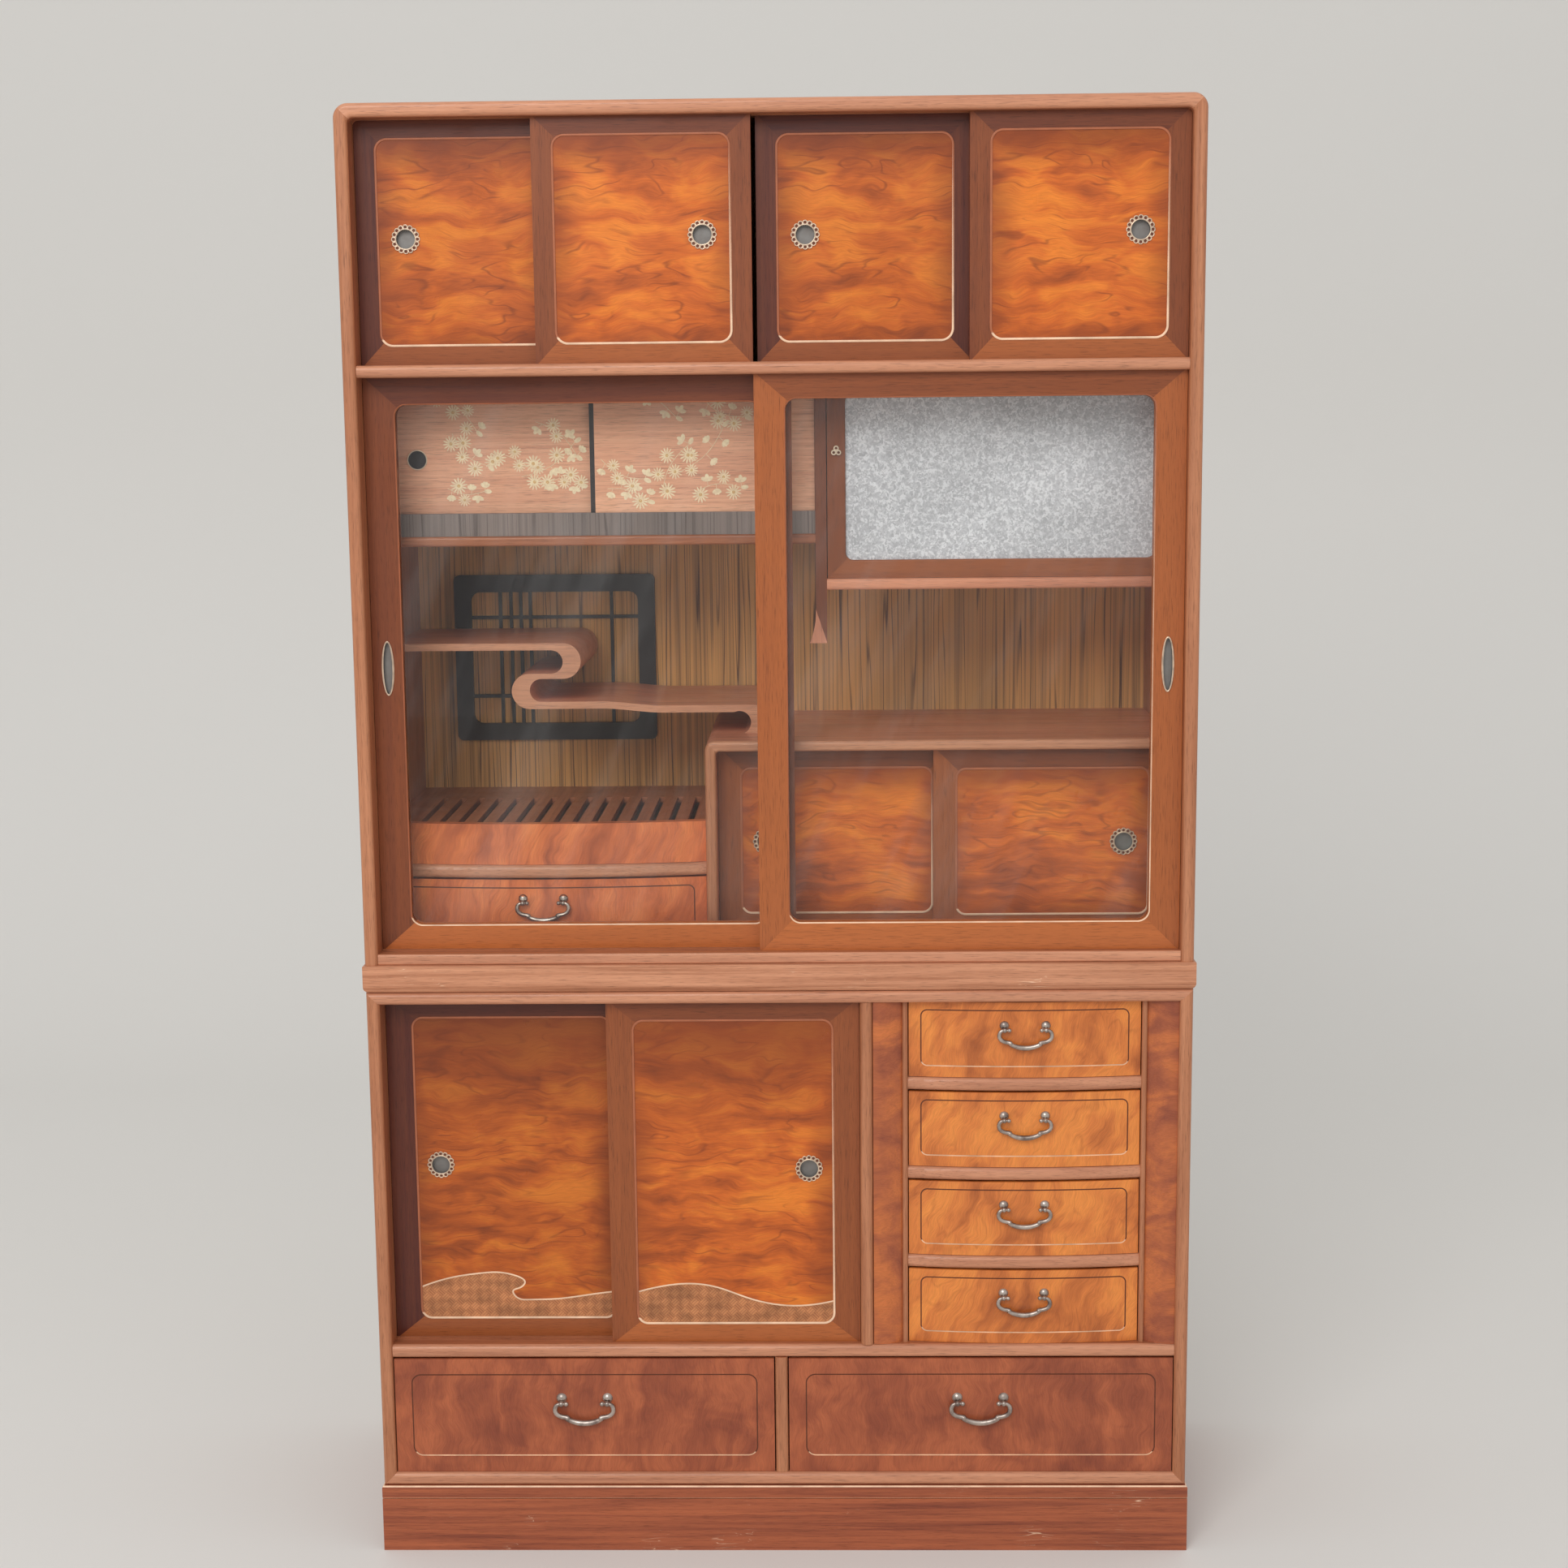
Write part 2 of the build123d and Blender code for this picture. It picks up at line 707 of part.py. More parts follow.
def cupboards():
    """Two hanging cupboards, the partition between them and the hanging post."""
    left_floor = glass_ceiling - left_cupboard_height
    left_shelf_top = left_floor - left_sill_height
    right_floor = glass_ceiling - right_cupboard_height
    left_x, right_x = (inner_left, post_left), (post_left + post_width, inner_right)
    depths = (cupboard_depth, back_depth)
    shelf = block(left_x, depths, (left_shelf_top - left_shelf_board, left_shelf_top))
    keep("left_cupboard_shelf", nosed(shelf, Axis.X, cupboard_round))
    sill_front = cupboard_depth + cupboard_setback
    sill = block(left_x, (sill_front, sill_front + left_sill_depth), (left_shelf_top, left_floor))
    sill = grooves(sill, left_x, (left_floor - blossom_groove, left_floor),
                   cupboard_depth + 2 * cupboard_setback, blossom_thickness, blossom_ridge)
    keep("left_cupboard_shelf", sill)

    right_base = right_floor - right_shelf_board
    shelf = nosed(block(right_x, depths, (right_base, right_floor)), Axis.X, cupboard_round)
    keep("right_cupboard_shelf", shelf - pivot_at(right_floor), pivot_at(right_floor))

    foot = right_base - post_drop
    post_x = (post_left, post_left + post_width)
    toe = (post_x[1] - post_foot_width, foot)
    ankle = (post_left, foot + post_foot_height)
    flare = ThreePointArc(toe, (post_left - post_flare, (toe[1] + ankle[1]) / 2), ankle)
    rest = Polyline(ankle, (post_left, glass_ceiling), (post_x[1], glass_ceiling), (post_x[1], foot), toe)
    drawing = make_face([flare, *rest.edges()])
    partition_start = cupboard_depth + post_thickness
    keep("hanging_post", prism(drawing, (cupboard_depth, partition_start)))
    keep("hanging_post", block(post_x, (partition_start, back_depth), (right_base, glass_ceiling)))


def blossom_doors():
    """Two thin sliding doors with dark edges and plain round pulls."""
    floor = glass_ceiling - left_cupboard_height
    z = (floor - blossom_groove + sliding_gap, glass_ceiling + blossom_reach)
    width = (post_left - inner_left + blossom_overlap) / 2 - side_gap
    first = cupboard_depth + 2 * cupboard_setback
    places = {"left_blossom_door": (inner_left + side_gap, first + blossom_thickness + blossom_ridge, 1),
              "right_blossom_door": (post_left - side_gap, first, -1)}
    for name, (outer, depth, way) in places.items():
        inner = outer + way * width
        faces = (depth, depth + blossom_thickness)
        meeting = (inner - way * blossom_edge, inner)
        panel = block(tuple(sorted((outer, meeting[0]))), faces, z)
        place = (outer + way * blossom_pull_inset, depth, floor + blossom_pull_height)
        keep(name, panel - pull_pocket("plain", *place))
        keep(name, block(tuple(sorted(meeting)), faces, z))
        keep(name, place_pull("plain", *place))


def frosted_door():
    """A glazed door that swings on pivot pins at its right-hand stile."""
    floor = glass_ceiling - right_cupboard_height
    x = (post_left + post_width + frosted_clearance, inner_right - frosted_clearance)
    z = (floor + sliding_gap, glass_ceiling - sliding_gap)
    depth = cupboard_depth + cupboard_setback
    rails = (frosted_lower_rail - sliding_gap, frosted_upper_rail - sliding_gap)
    stiles = (frosted_left_stile - frosted_clearance, frosted_right_stile - frosted_clearance)
    members = glazed_door("frosted_door", x, z, depth, frosted_thickness, stiles, rails,
                          frosted_corner_radius)
    bores = pivot_at(floor, pivot_clearance) + pivot_at(glass_ceiling, pivot_clearance)
    keep("frosted_door", *[member - bores for member in members])
    knob_x = x[0] + stiles[0] / 2
    keep("frosted_door", Pos(knob_x, front_y + depth, floor + knob_height) * ring_knob())


def counter():
    """The counter that turns down into the side of the bay, with a rounded corner."""
    top = sill_top + counter_top_height
    ceiling = top - counter_board_thickness
    side_face = counter_left + counter_side_thickness
    outline = [(counter_left, sill_top), (counter_left, top), (inner_right, top),
               (inner_right, ceiling), (side_face, ceiling), (side_face, sill_top)]
    drawing = make_face(Polyline(*outline, close=True))
    outer = drawing.vertices().sort_by_distance((counter_left, top, 0))[0]
    drawing = fillet(outer, counter_corner_radius)
    inner = drawing.vertices().sort_by_distance((side_face, ceiling, 0))[0]
    drawing = fillet(inner, counter_inner_radius)
    bend = prism(drawing, (fitting_depth, back_depth))
    rim = bend.edges().group_by(Axis.Y)[0].filter_by(
        lambda edge: edge.center().Z > sill_top + 0.01 and edge.center().X < inner_right - 0.01)
    bend = fillet(rim, counter_edge_radius)
    bend = grooves(bend, (side_face, inner_right),
                   (ceiling - counter_inner_radius, ceiling + small_door_upper_groove),
                   fitting_depth + small_door_setback, small_door_thickness, small_door_ridge)
    corner = (counter_left, top)
    cut = corner_cut(corner, (side_face, ceiling))
    cap = make_face(Polyline(corner, cut, (inner_right, cut[1]), (inner_right, top), close=True))
    cap = prism(cap, (fitting_depth, back_depth))
    keep("counter_board", bend & cap)
    keep("counter_side", bend - cap)


def small_doors():
    """Two sliding panel doors under the counter."""
    ceiling = sill_top + counter_top_height - counter_board_thickness
    z = (sill_top - small_door_groove + sliding_gap, ceiling + small_door_reach)
    rails = (small_lower_rail + small_door_groove - sliding_gap, small_upper_rail + small_door_reach)
    left, right = counter_left + counter_side_thickness, inner_right
    first = fitting_depth + small_door_setback
    places = {"left_small_door": (left + side_gap, first + small_door_thickness + small_door_ridge, 1),
              "right_small_door": (right - side_gap, first, -1)}
    for name, (outer, depth, way) in places.items():
        x = tuple(sorted((outer, outer + way * small_door_width)))
        pull = (outer + way * small_pull_inset, sill_top + small_pull_height)
        keep(name, panel_door(name, x, z, depth, small_door_thickness, small_stile, rails,
                              small_corner_radius, pull))


def bay():
    """The slatted rack, the bowed fascia and the bowed board over the bay's drawer."""
    x = (inner_left, counter_left)
    ends = fitting_depth + bay_bow
    board_base = sill_top + bay_drawer_height
    board_top = board_base + bay_board_thickness
    rack_top = board_top + bay_fascia_height
    plank = bow_face(x, ends, bay_bow, back_depth, (board_base, board_top))
    keep("bay_board", nosed_bow(plank, bay_board_round))
    fascia_ends = ends + bay_fascia_setback
    fascia_back = fascia_ends + bay_fascia_thickness
    fascia = bow_face(x, fascia_ends, bay_bow, back_depth, (board_top, rack_top))
    fascia -= bow_face(x, fascia_back, bay_bow, back_depth, (board_top, rack_top))
    keep("bay_fascia", fascia)

    rack_base = rack_top - rack_thickness
    rack = bow_face(x, fascia_back, bay_bow, back_depth, (rack_base, rack_top))
    slots = int((x[1] - x[0] - rack_slat) // (rack_slat + rack_gap))
    for number in range(slots):
        right = x[1] - rack_slat - number * (rack_slat + rack_gap)
        rack -= block((right - rack_gap, right), (fitting_depth, back_depth - rack_rear_board),
                      (rack_base, rack_top))
    keep("slat_rack", rack)
    for start in (fascia_back, back_depth - 2 * rack_bearer):
        keep("slat_rack", block(x, (start, start + rack_bearer), (board_top, rack_base)))


def nosed_bow(solid, radius):
    """Round the two curved front edges of a bowed board."""
    curved = solid.edges().filter_by(GeomType.CIRCLE)
    return fillet(curved, radius)


def cloud_shelf():
    """A staggered shelf that runs right, doubles back and runs right again."""
    upper, middle = sill_top + cloud_upper, sill_top + cloud_middle
    lower, step = sill_top + cloud_lower, sill_top + cloud_step
    foot = sill_top + counter_top_height
    thick, thin = cloud_thickness, cloud_middle_thickness
    hook_inner = cloud_hook - cloud_hook_thickness
    outer_right = half_turn(cloud_right, upper, middle - thin, 1)
    inner_left_turn = half_turn(cloud_left + cloud_bend, middle - thin, lower, -1)
    top_fall = [(cloud_fall_start, lower), (cloud_fall_end, step)]
    hook_start = (cloud_hook - cloud_hook_thickness, step)
    outer_hook = ThreePointArc(hook_start, (cloud_hook, (step + foot) / 2),
                               (cloud_foot + cloud_foot_width, foot))
    inner_hook = ThreePointArc((cloud_foot, foot), (hook_inner, (step - thick + foot) / 2),
                               (hook_inner - cloud_hook_thickness, step - thick))
    base_fall = [(cloud_fall_end, step - thick), (cloud_fall_start, lower - thick)]
    outer_left = half_turn(cloud_left, lower - thick, middle, -1)
    inner_right_turn = half_turn(cloud_right - cloud_bend, middle, upper - thick, 1)
    outline = [Line((inner_left, upper), outer_right @ 0), outer_right,
               Line(outer_right @ 1, inner_left_turn @ 0), inner_left_turn,
               Line(inner_left_turn @ 1, top_fall[0]), Spline(*top_fall, tangents=((1, 0), (1, 0))),
               Line(top_fall[1], hook_start), outer_hook,
               Line(outer_hook @ 1, inner_hook @ 0), inner_hook,
               Line(inner_hook @ 1, base_fall[0]), Spline(*base_fall, tangents=((-1, 0), (-1, 0))),
               Line(base_fall[1], outer_left @ 0), outer_left,
               Line(outer_left @ 1, inner_right_turn @ 0), inner_right_turn,
               Line(inner_right_turn @ 1, (inner_left, upper - thick)),
               Line((inner_left, upper - thick), (inner_left, upper))]
    keep("cloud_shelf", prism(make_face(outline), (cloud_depth, back_depth - lattice_thickness)))


def lattice_window():
    """A rounded frame with a lattice of thin bars, mounted on the back panel."""
    left, base = inner_left + lattice_inset, sill_top + lattice_base
    x, z = (left, left + lattice_width), (base, base + lattice_height)
    hole_x = (x[0] + lattice_band, x[1] - lattice_band)
    hole_z = (z[0] + lattice_band, z[1] - lattice_band)
    outline = rectangle(x, z, lattice_outer_radius) - rectangle(hole_x, hole_z, lattice_inner_radius)
    frame = prism(outline, (back_depth - lattice_thickness, back_depth))
    bars = (back_depth - lattice_bar_thickness, back_depth)
    half = lattice_bar / 2
    for place in lattice_uprights:
        frame += block((left + place - half, left + place + half), bars,
                       (hole_z[0] - half, hole_z[1] + half))
    for place in lattice_crossbars:
        frame += block((hole_x[0] - half, hole_x[1] + half), bars,
                       (base + place - half, base + place + half))
    keep("lattice_window", frame)


# Lower case

def lower_case():
    """The mitred box, the middle shelf, the base divider and the back."""
    x, z = (-half_width, half_width), (lower_base, lower_top)
    inner_x, inner_z = (inner_left, inner_right), (base_floor, lower_ceiling)
    depths = (0, case_depth)
    boards = [nosed(block((x[0], inner_x[0]), depths, z), Axis.Z, edge_radius),
              nosed(block((inner_x[1], x[1]), depths, z), Axis.Z, edge_radius),
              nosed(block(x, depths, (z[0], inner_z[0])), Axis.X, edge_radius),
              nosed(block(x, depths, (inner_z[1], z[1])), Axis.X, edge_radius)]
    wedges = mitre_wedges(x, z, inner_x, inner_z, depths)
    left, right, bottom, top = [plank & wedge for plank, wedge in zip(boards, wedges)]
    behind_doors = (inner_left, divider_left)
    top = grooves(top, behind_doors, (lower_ceiling, lower_ceiling + upper_groove),
                  front_track_depth, door_thickness, track_ridge)
    keep("lower_side_left", left)
    keep("lower_side_right", right)
    keep("lower_bottom_board", bottom)
    keep("lower_top_board", top)
    shelf = block(inner_x, (shelf_setback, back_depth), (base_ceiling, lower_floor))
    shelf = nosed(shelf, Axis.X, edge_radius)
    shelf = grooves(shelf, behind_doors, (lower_floor - lower_groove, lower_floor),
                    front_track_depth, door_thickness, track_ridge)
    keep("lower_mid_shelf", shelf)
    divider_x = (base_divider_left, base_divider_left + divider_board)
    divider = block(divider_x, (shelf_setback, back_depth), (base_floor, base_ceiling))
    keep("base_divider", nosed(divider, Axis.Z, edge_radius))
    panel_depths = (back_depth, back_depth + back_panel_thickness)
    keep("lower_back_panel", block(inner_x, panel_depths, inner_z))


def drawer_bank():
    """The divider, curved pilasters, guides and bowed boards that carry the drawers."""
    z = (lower_floor, lower_ceiling)
    post_x = (divider_left, divider_left + divider_board)
    post = block(post_x, (shelf_setback, back_depth), z)
    keep("bay_divider", nosed(post, Axis.Z, divider_round))
    left_guide = post_x[1] + left_pilaster_width
    right_guide = inner_right - right_pilaster_width
    guides = [(left_guide, left_guide + guide_thickness), (right_guide - guide_thickness, right_guide)]
    for x in guides:
        guide = block(x, (guide_setback, back_depth), z)
        keep("drawer_guides", nosed(guide, Axis.Z, guide_round))
    keep("pilasters", pilaster(post_x[1], guides[0][0], z), pilaster(inner_right, guides[1][1], z))
    return guides[0][1], guides[1][0]


def pilaster(outer, inner, z):
    """A curved panel that leads from the front back to the drawers."""
    start, end = (outer, front_y + pilaster_front), (inner, front_y + pilaster_back)
    middle = ((outer + inner) / 2, front_y + (pilaster_front + pilaster_back) / 2 - pilaster_bulge)
    face = ThreePointArc(start, middle, end)
    rear = Polyline(end, (inner, front_y + pilaster_back + pilaster_thickness),
                    (outer, front_y + pilaster_back + pilaster_thickness), start)
    return upright(make_face([face, *rear.edges()]), z)


def drawer_box(name, x, z, face_ends, bow, rear, inlay):
    """A drawer with an inlaid line round its front; returns the front."""
    front_back = face_ends + drawer_front_thickness
    front = bow_face(x, face_ends, bow, front_back, z)
    side_inset, bottom_inset, top_inset, radius = inlay
    line_x = (x[0] + side_inset, x[1] - side_inset)
    line_z = (z[0] + bottom_inset, z[1] - top_inset)
    inner_x = (line_x[0] + inlay_width, line_x[1] - inlay_width)
    inner_z = (line_z[0] + inlay_width, line_z[1] - inlay_width)
    line = rectangle(line_x, line_z, radius) - rectangle(inner_x, inner_z, radius - inlay_width)
    line = prism(line, (face_ends - bow - 1, front_back))
    front -= line - Pos(0, inlay_depth, 0) * front
    top = z[1] - drawer_side_drop
    left, right = (x[0], x[0] + drawer_side), (x[1] - drawer_side, x[1])
    between = (left[1], right[0])
    keep(name, front)
    keep(name, block(left, (front_back, rear), (z[0], top)))
    keep(name, block(right, (front_back, rear), (z[0], top)))
    keep(name, block(between, (rear - drawer_side, rear), (z[0] + drawer_bottom, top)))
    keep(name, block(between, (front_back, rear), (z[0], z[0] + drawer_bottom)))
    return front


def bow_drawers(left, right):
    """Four bow-front drawers, all but the lowest on a board of their own."""
    count = bow_drawer_count
    clear = (lower_ceiling - lower_floor - (count - 1) * drawer_rail_height) / count
    rail_ends = drawer_rail_front + drawer_bow
    face = drawer_rail_front + drawer_face_setback
    rear = back_depth - drawer_back_clearance
    inlay = (bow_inlay_side, bow_inlay_bottom, bow_inlay_top, bow_inlay_radius)
    x = (left + drawer_side_clearance, right - drawer_side_clearance)
    for number in range(count):
        floor = lower_ceiling - clear - number * (clear + drawer_rail_height)
        z = (floor + sliding_gap, floor + clear - drawer_top_clearance)
        name = f"bow_drawer_{number + 1}"
        front = drawer_box(name, x, z, face + drawer_bow, drawer_bow, rear, inlay)
        fit_bail(name, (left + right) / 2, face, floor + bow_bail_height, small_bail_scale, front)
        if number < count - 1:
            plank = bow_face((left, right), rail_ends, drawer_bow, back_depth,
                             (floor - drawer_rail_height, floor))
            keep("drawer_boards", nosed_bow(plank, drawer_rail_round))


def base_drawers():
    """Two wide flat-fronted drawers at the foot."""
    z = (base_floor + sliding_gap, base_ceiling - drawer_top_clearance)
    inlay = (base_inlay_side, base_inlay_bottom, base_inlay_top, base_inlay_radius)
    rear = back_depth - drawer_back_clearance
    bays = {"left_base_drawer": (inner_left, base_divider_left),
            "right_base_drawer": (base_divider_left + divider_board, inner_right)}
    for name, bay_x in bays.items():
        x = (bay_x[0] + drawer_side_clearance, bay_x[1] - drawer_side_clearance)
        front = drawer_box(name, x, z, base_drawer_setback, 0.0, rear, inlay)
        fit_bail(name, sum(bay_x) / 2, base_drawer_setback, base_floor + base_bail_height, 1.0, front)


def bay_drawer():
    """The bow-front drawer in the bay behind the glass."""
    x = (inner_left + drawer_side_clearance, counter_left - drawer_side_clearance)
    z = (sill_top + sliding_gap, sill_top + bay_drawer_height - drawer_top_clearance)
    face = fitting_depth + bay_fascia_setback
    inlay = (bow_inlay_side, bow_inlay_bottom, bow_inlay_top, bow_inlay_radius)
    back = back_depth - drawer_back_clearance
    front = drawer_box("bay_drawer", x, z, face + bay_bow, bay_bow, back, inlay)
    middle = (inner_left + counter_left) / 2 + bay_bail_shift
    fit_bail("bay_drawer", middle, face, sill_top + bay_bail_height, small_bail_scale, front)


def lower_doors():
    """Two sliding doors whose panels are parted by an inlaid wave."""
    z = (lower_floor - lower_groove + sliding_gap, lower_ceiling + upper_groove_reach)
    rails = (lower_lower_rail + lower_groove - sliding_gap, lower_upper_rail + upper_groove_reach)
    places = {"left_lower_door": (inner_left + side_gap, rear_track_depth, 1, left_wave),
              "right_lower_door": (divider_left - side_gap, front_track_depth, -1, right_wave)}
    for name, (outer, depth, way, wave) in places.items():
        x = tuple(sorted((outer, outer + way * lower_door_width)))
        pull = (outer + way * lower_pull_inset, lower_floor + lower_pull_height)
        field = panel_door(name, x, z, depth, door_thickness, lower_stile, rails,
                           lower_corner_radius, pull)
        curve = wave(x[0] + lower_stile, lower_door_width - 2 * lower_stile)
        start, end = curve @ 0, curve @ 1
        rest = Polyline(end, (end.X, lower_floor), (start.X, lower_floor), start)
        through = (depth, depth + panel_thickness)
        line = prism(trace(curve, wave_line), through)
        shore = prism(make_face([curve, *rest.edges()]), through)
        keep(name, field - shore - line, (field & shore) - line, field & line)


def left_wave(left, width):
    """A swell that curls back on itself before it runs on."""
    points = [(-4, 66), (42, 81), (82, 87), (125, 84), (139, 74), (133, 67),
              (123, 62), (127, 54), (144, 50), (180, 51), (219, 56), (width + 10, 62)]
    return Spline(*[(left + across, lower_floor + up) for across, up in points])


def right_wave(left, width):
    """A long low swell."""
    points = [(-4, 67), (38, 77), (77, 79.5), (108, 74), (143, 61),
              (182, 51), (211, 49), (236, 51), (width + 7, 58)]
    return Spline(*[(left + across, lower_floor + up) for across, up in points])


# Slab and plinth

def slab():
    """The projecting slab between the cases: four mitred mouldings and a panel."""
    half = half_width + slab_proud
    depths, z = (-slab_proud, case_depth), (lower_top, slab_top)
    whole = block((-half, half), depths, z)
    rim = whole.edges().filter_by(lambda edge: edge.center().Y < front_y + case_depth - 1)
    whole = fillet(rim.filter_by(lambda edge: edge.center().Z < lower_top + 0.01), slab_lower_round)
    rim = whole.edges().filter_by(lambda edge: edge.center().Y < front_y + case_depth - 1)
    whole = fillet(rim.filter_by(lambda edge: edge.center().Z > slab_top - 0.01), slab_upper_round)
    keep("stack_slab", *frame_members(whole, half, depths, slab_moulding_width, z))
    inner = half - slab_moulding_width
    panel_depths = (depths[0] + slab_moulding_width, depths[1] - slab_moulding_width)
    keep("stack_slab", block((-inner, inner), panel_depths, (slab_top - slab_panel_thickness, slab_top)))


def frame_members(whole, half, depths, width, z):
    """Cut a four-sided frame, seen from above, into members along its mitres."""
    outer = [(-half, depths[0]), (half, depths[0]), (half, depths[1]), (-half, depths[1])]
    inner = [(-half + width, depths[0] + width), (half - width, depths[0] + width),
             (half - width, depths[1] - width), (-half + width, depths[1] - width)]
    members = []
    for number in range(4):
        following = (number + 1) % 4
        loop = [outer[number], outer[following], inner[following], inner[number]]
        loop = [(x, front_y + depth) for x, depth in loop]
        members.append(whole & upright(make_face(Polyline(*loop, close=True)), z))
    return members


def plinth():
    """A four-sided plinth: a board and a moulding on each side, mitred."""
    half = half_width + plinth_proud
    depths = (-plinth_proud, case_depth)
    boards_z = (0, plinth_height - plinth_moulding)
    moulding_z = (boards_z[1], plinth_height)
    boards = block((-half, half), depths, boards_z)
    keep("plinth_boards", *frame_members(boards, half, depths, plinth_board, boards_z))
    moulding = block((-half, half), depths, moulding_z)
    rim = moulding.edges().filter_by(lambda edge: edge.center().Y < front_y + case_depth - 1)
    moulding = fillet(rim.filter_by(Axis.Z, reverse=True), plinth_moulding_round)
    keep("plinth_moulding", *frame_members(moulding, half, depths, plinth_board, moulding_z))


upper_case()
top_doors()
glass_doors()
cupboards()
blossom_doors()
frosted_door()
counter()
small_doors()
bay()
bay_drawer()
cloud_shelf()
lattice_window()
slab()
lower_case()
left_guide_face, right_guide_face = drawer_bank()
bow_drawers(left_guide_face, right_guide_face)
base_drawers()
lower_doors()
plinth()

for name, solids in parts.items():
    export_step(Compound(children=solids, label=name), f"parts/{name}.step")
    print(name, len(solids))
print(len(parts), "parts")
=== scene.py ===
import functools
import math
from collections import namedtuple

import bpy
import numpy as np
from bpy.props import FloatProperty, FloatVectorProperty, PointerProperty
from bpy.types import Operator, Panel, PropertyGroup
from mathutils import Matrix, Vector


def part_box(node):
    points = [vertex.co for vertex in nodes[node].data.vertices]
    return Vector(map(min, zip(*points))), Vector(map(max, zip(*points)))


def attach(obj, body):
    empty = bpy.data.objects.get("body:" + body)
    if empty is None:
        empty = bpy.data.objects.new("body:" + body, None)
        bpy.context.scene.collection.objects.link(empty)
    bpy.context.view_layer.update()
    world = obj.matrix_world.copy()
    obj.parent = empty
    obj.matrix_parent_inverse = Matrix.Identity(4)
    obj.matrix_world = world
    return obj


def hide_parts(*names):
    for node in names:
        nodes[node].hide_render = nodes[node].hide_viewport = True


bl_info = {
    "name": "Mizuya Kitchen Cabinet",
    "version": (1, 0, 0),
    "blender": (4, 5, 0),
    "location": "3D View > Sidebar > Mizuya",
    "description": "Dresses a two-case kitchen cabinet with woods, glass, metal and fine fittings",
    "category": "Object",
}

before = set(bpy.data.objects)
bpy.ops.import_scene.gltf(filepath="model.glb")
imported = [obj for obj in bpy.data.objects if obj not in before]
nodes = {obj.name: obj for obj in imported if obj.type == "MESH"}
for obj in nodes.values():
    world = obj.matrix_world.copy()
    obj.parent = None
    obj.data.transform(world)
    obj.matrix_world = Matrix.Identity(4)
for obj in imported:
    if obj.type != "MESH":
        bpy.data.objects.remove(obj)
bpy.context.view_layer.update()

# Millimetres are used for sizes and places in this file, and metres in the meshes.
MM = 0.001
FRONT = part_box("lower_side_left")[0].y
ALONG_X, ALONG_Y, ALONG_Z = 0, 1, 2


# Settings

def paint(red, green, blue):
    """A screen colour from 0 to 255 as the linear values that materials take."""
    shares = np.array((red, green, blue)) / 255
    linear = np.where(shares > 0.04045, ((shares + 0.055) / 1.055) ** 2.4, shares / 12.92)
    return tuple(float(value) for value in linear)


def colour(name, description, red, green, blue):
    """A colour setting."""
    return FloatVectorProperty(name=name, description=description, subtype="COLOR", size=3,
                               min=0.0, max=1.0, default=paint(red, green, blue))


def length(name, description, millimetres):
    """A length setting."""
    return FloatProperty(name=name, description=description, default=millimetres * MM,
                         min=0.0, subtype="DISTANCE", unit="LENGTH", precision=4)


def share(name, description, value):
    """A setting from 0 to 1."""
    return FloatProperty(name=name, description=description, default=value, min=0.0, max=1.0,
                         subtype="FACTOR")


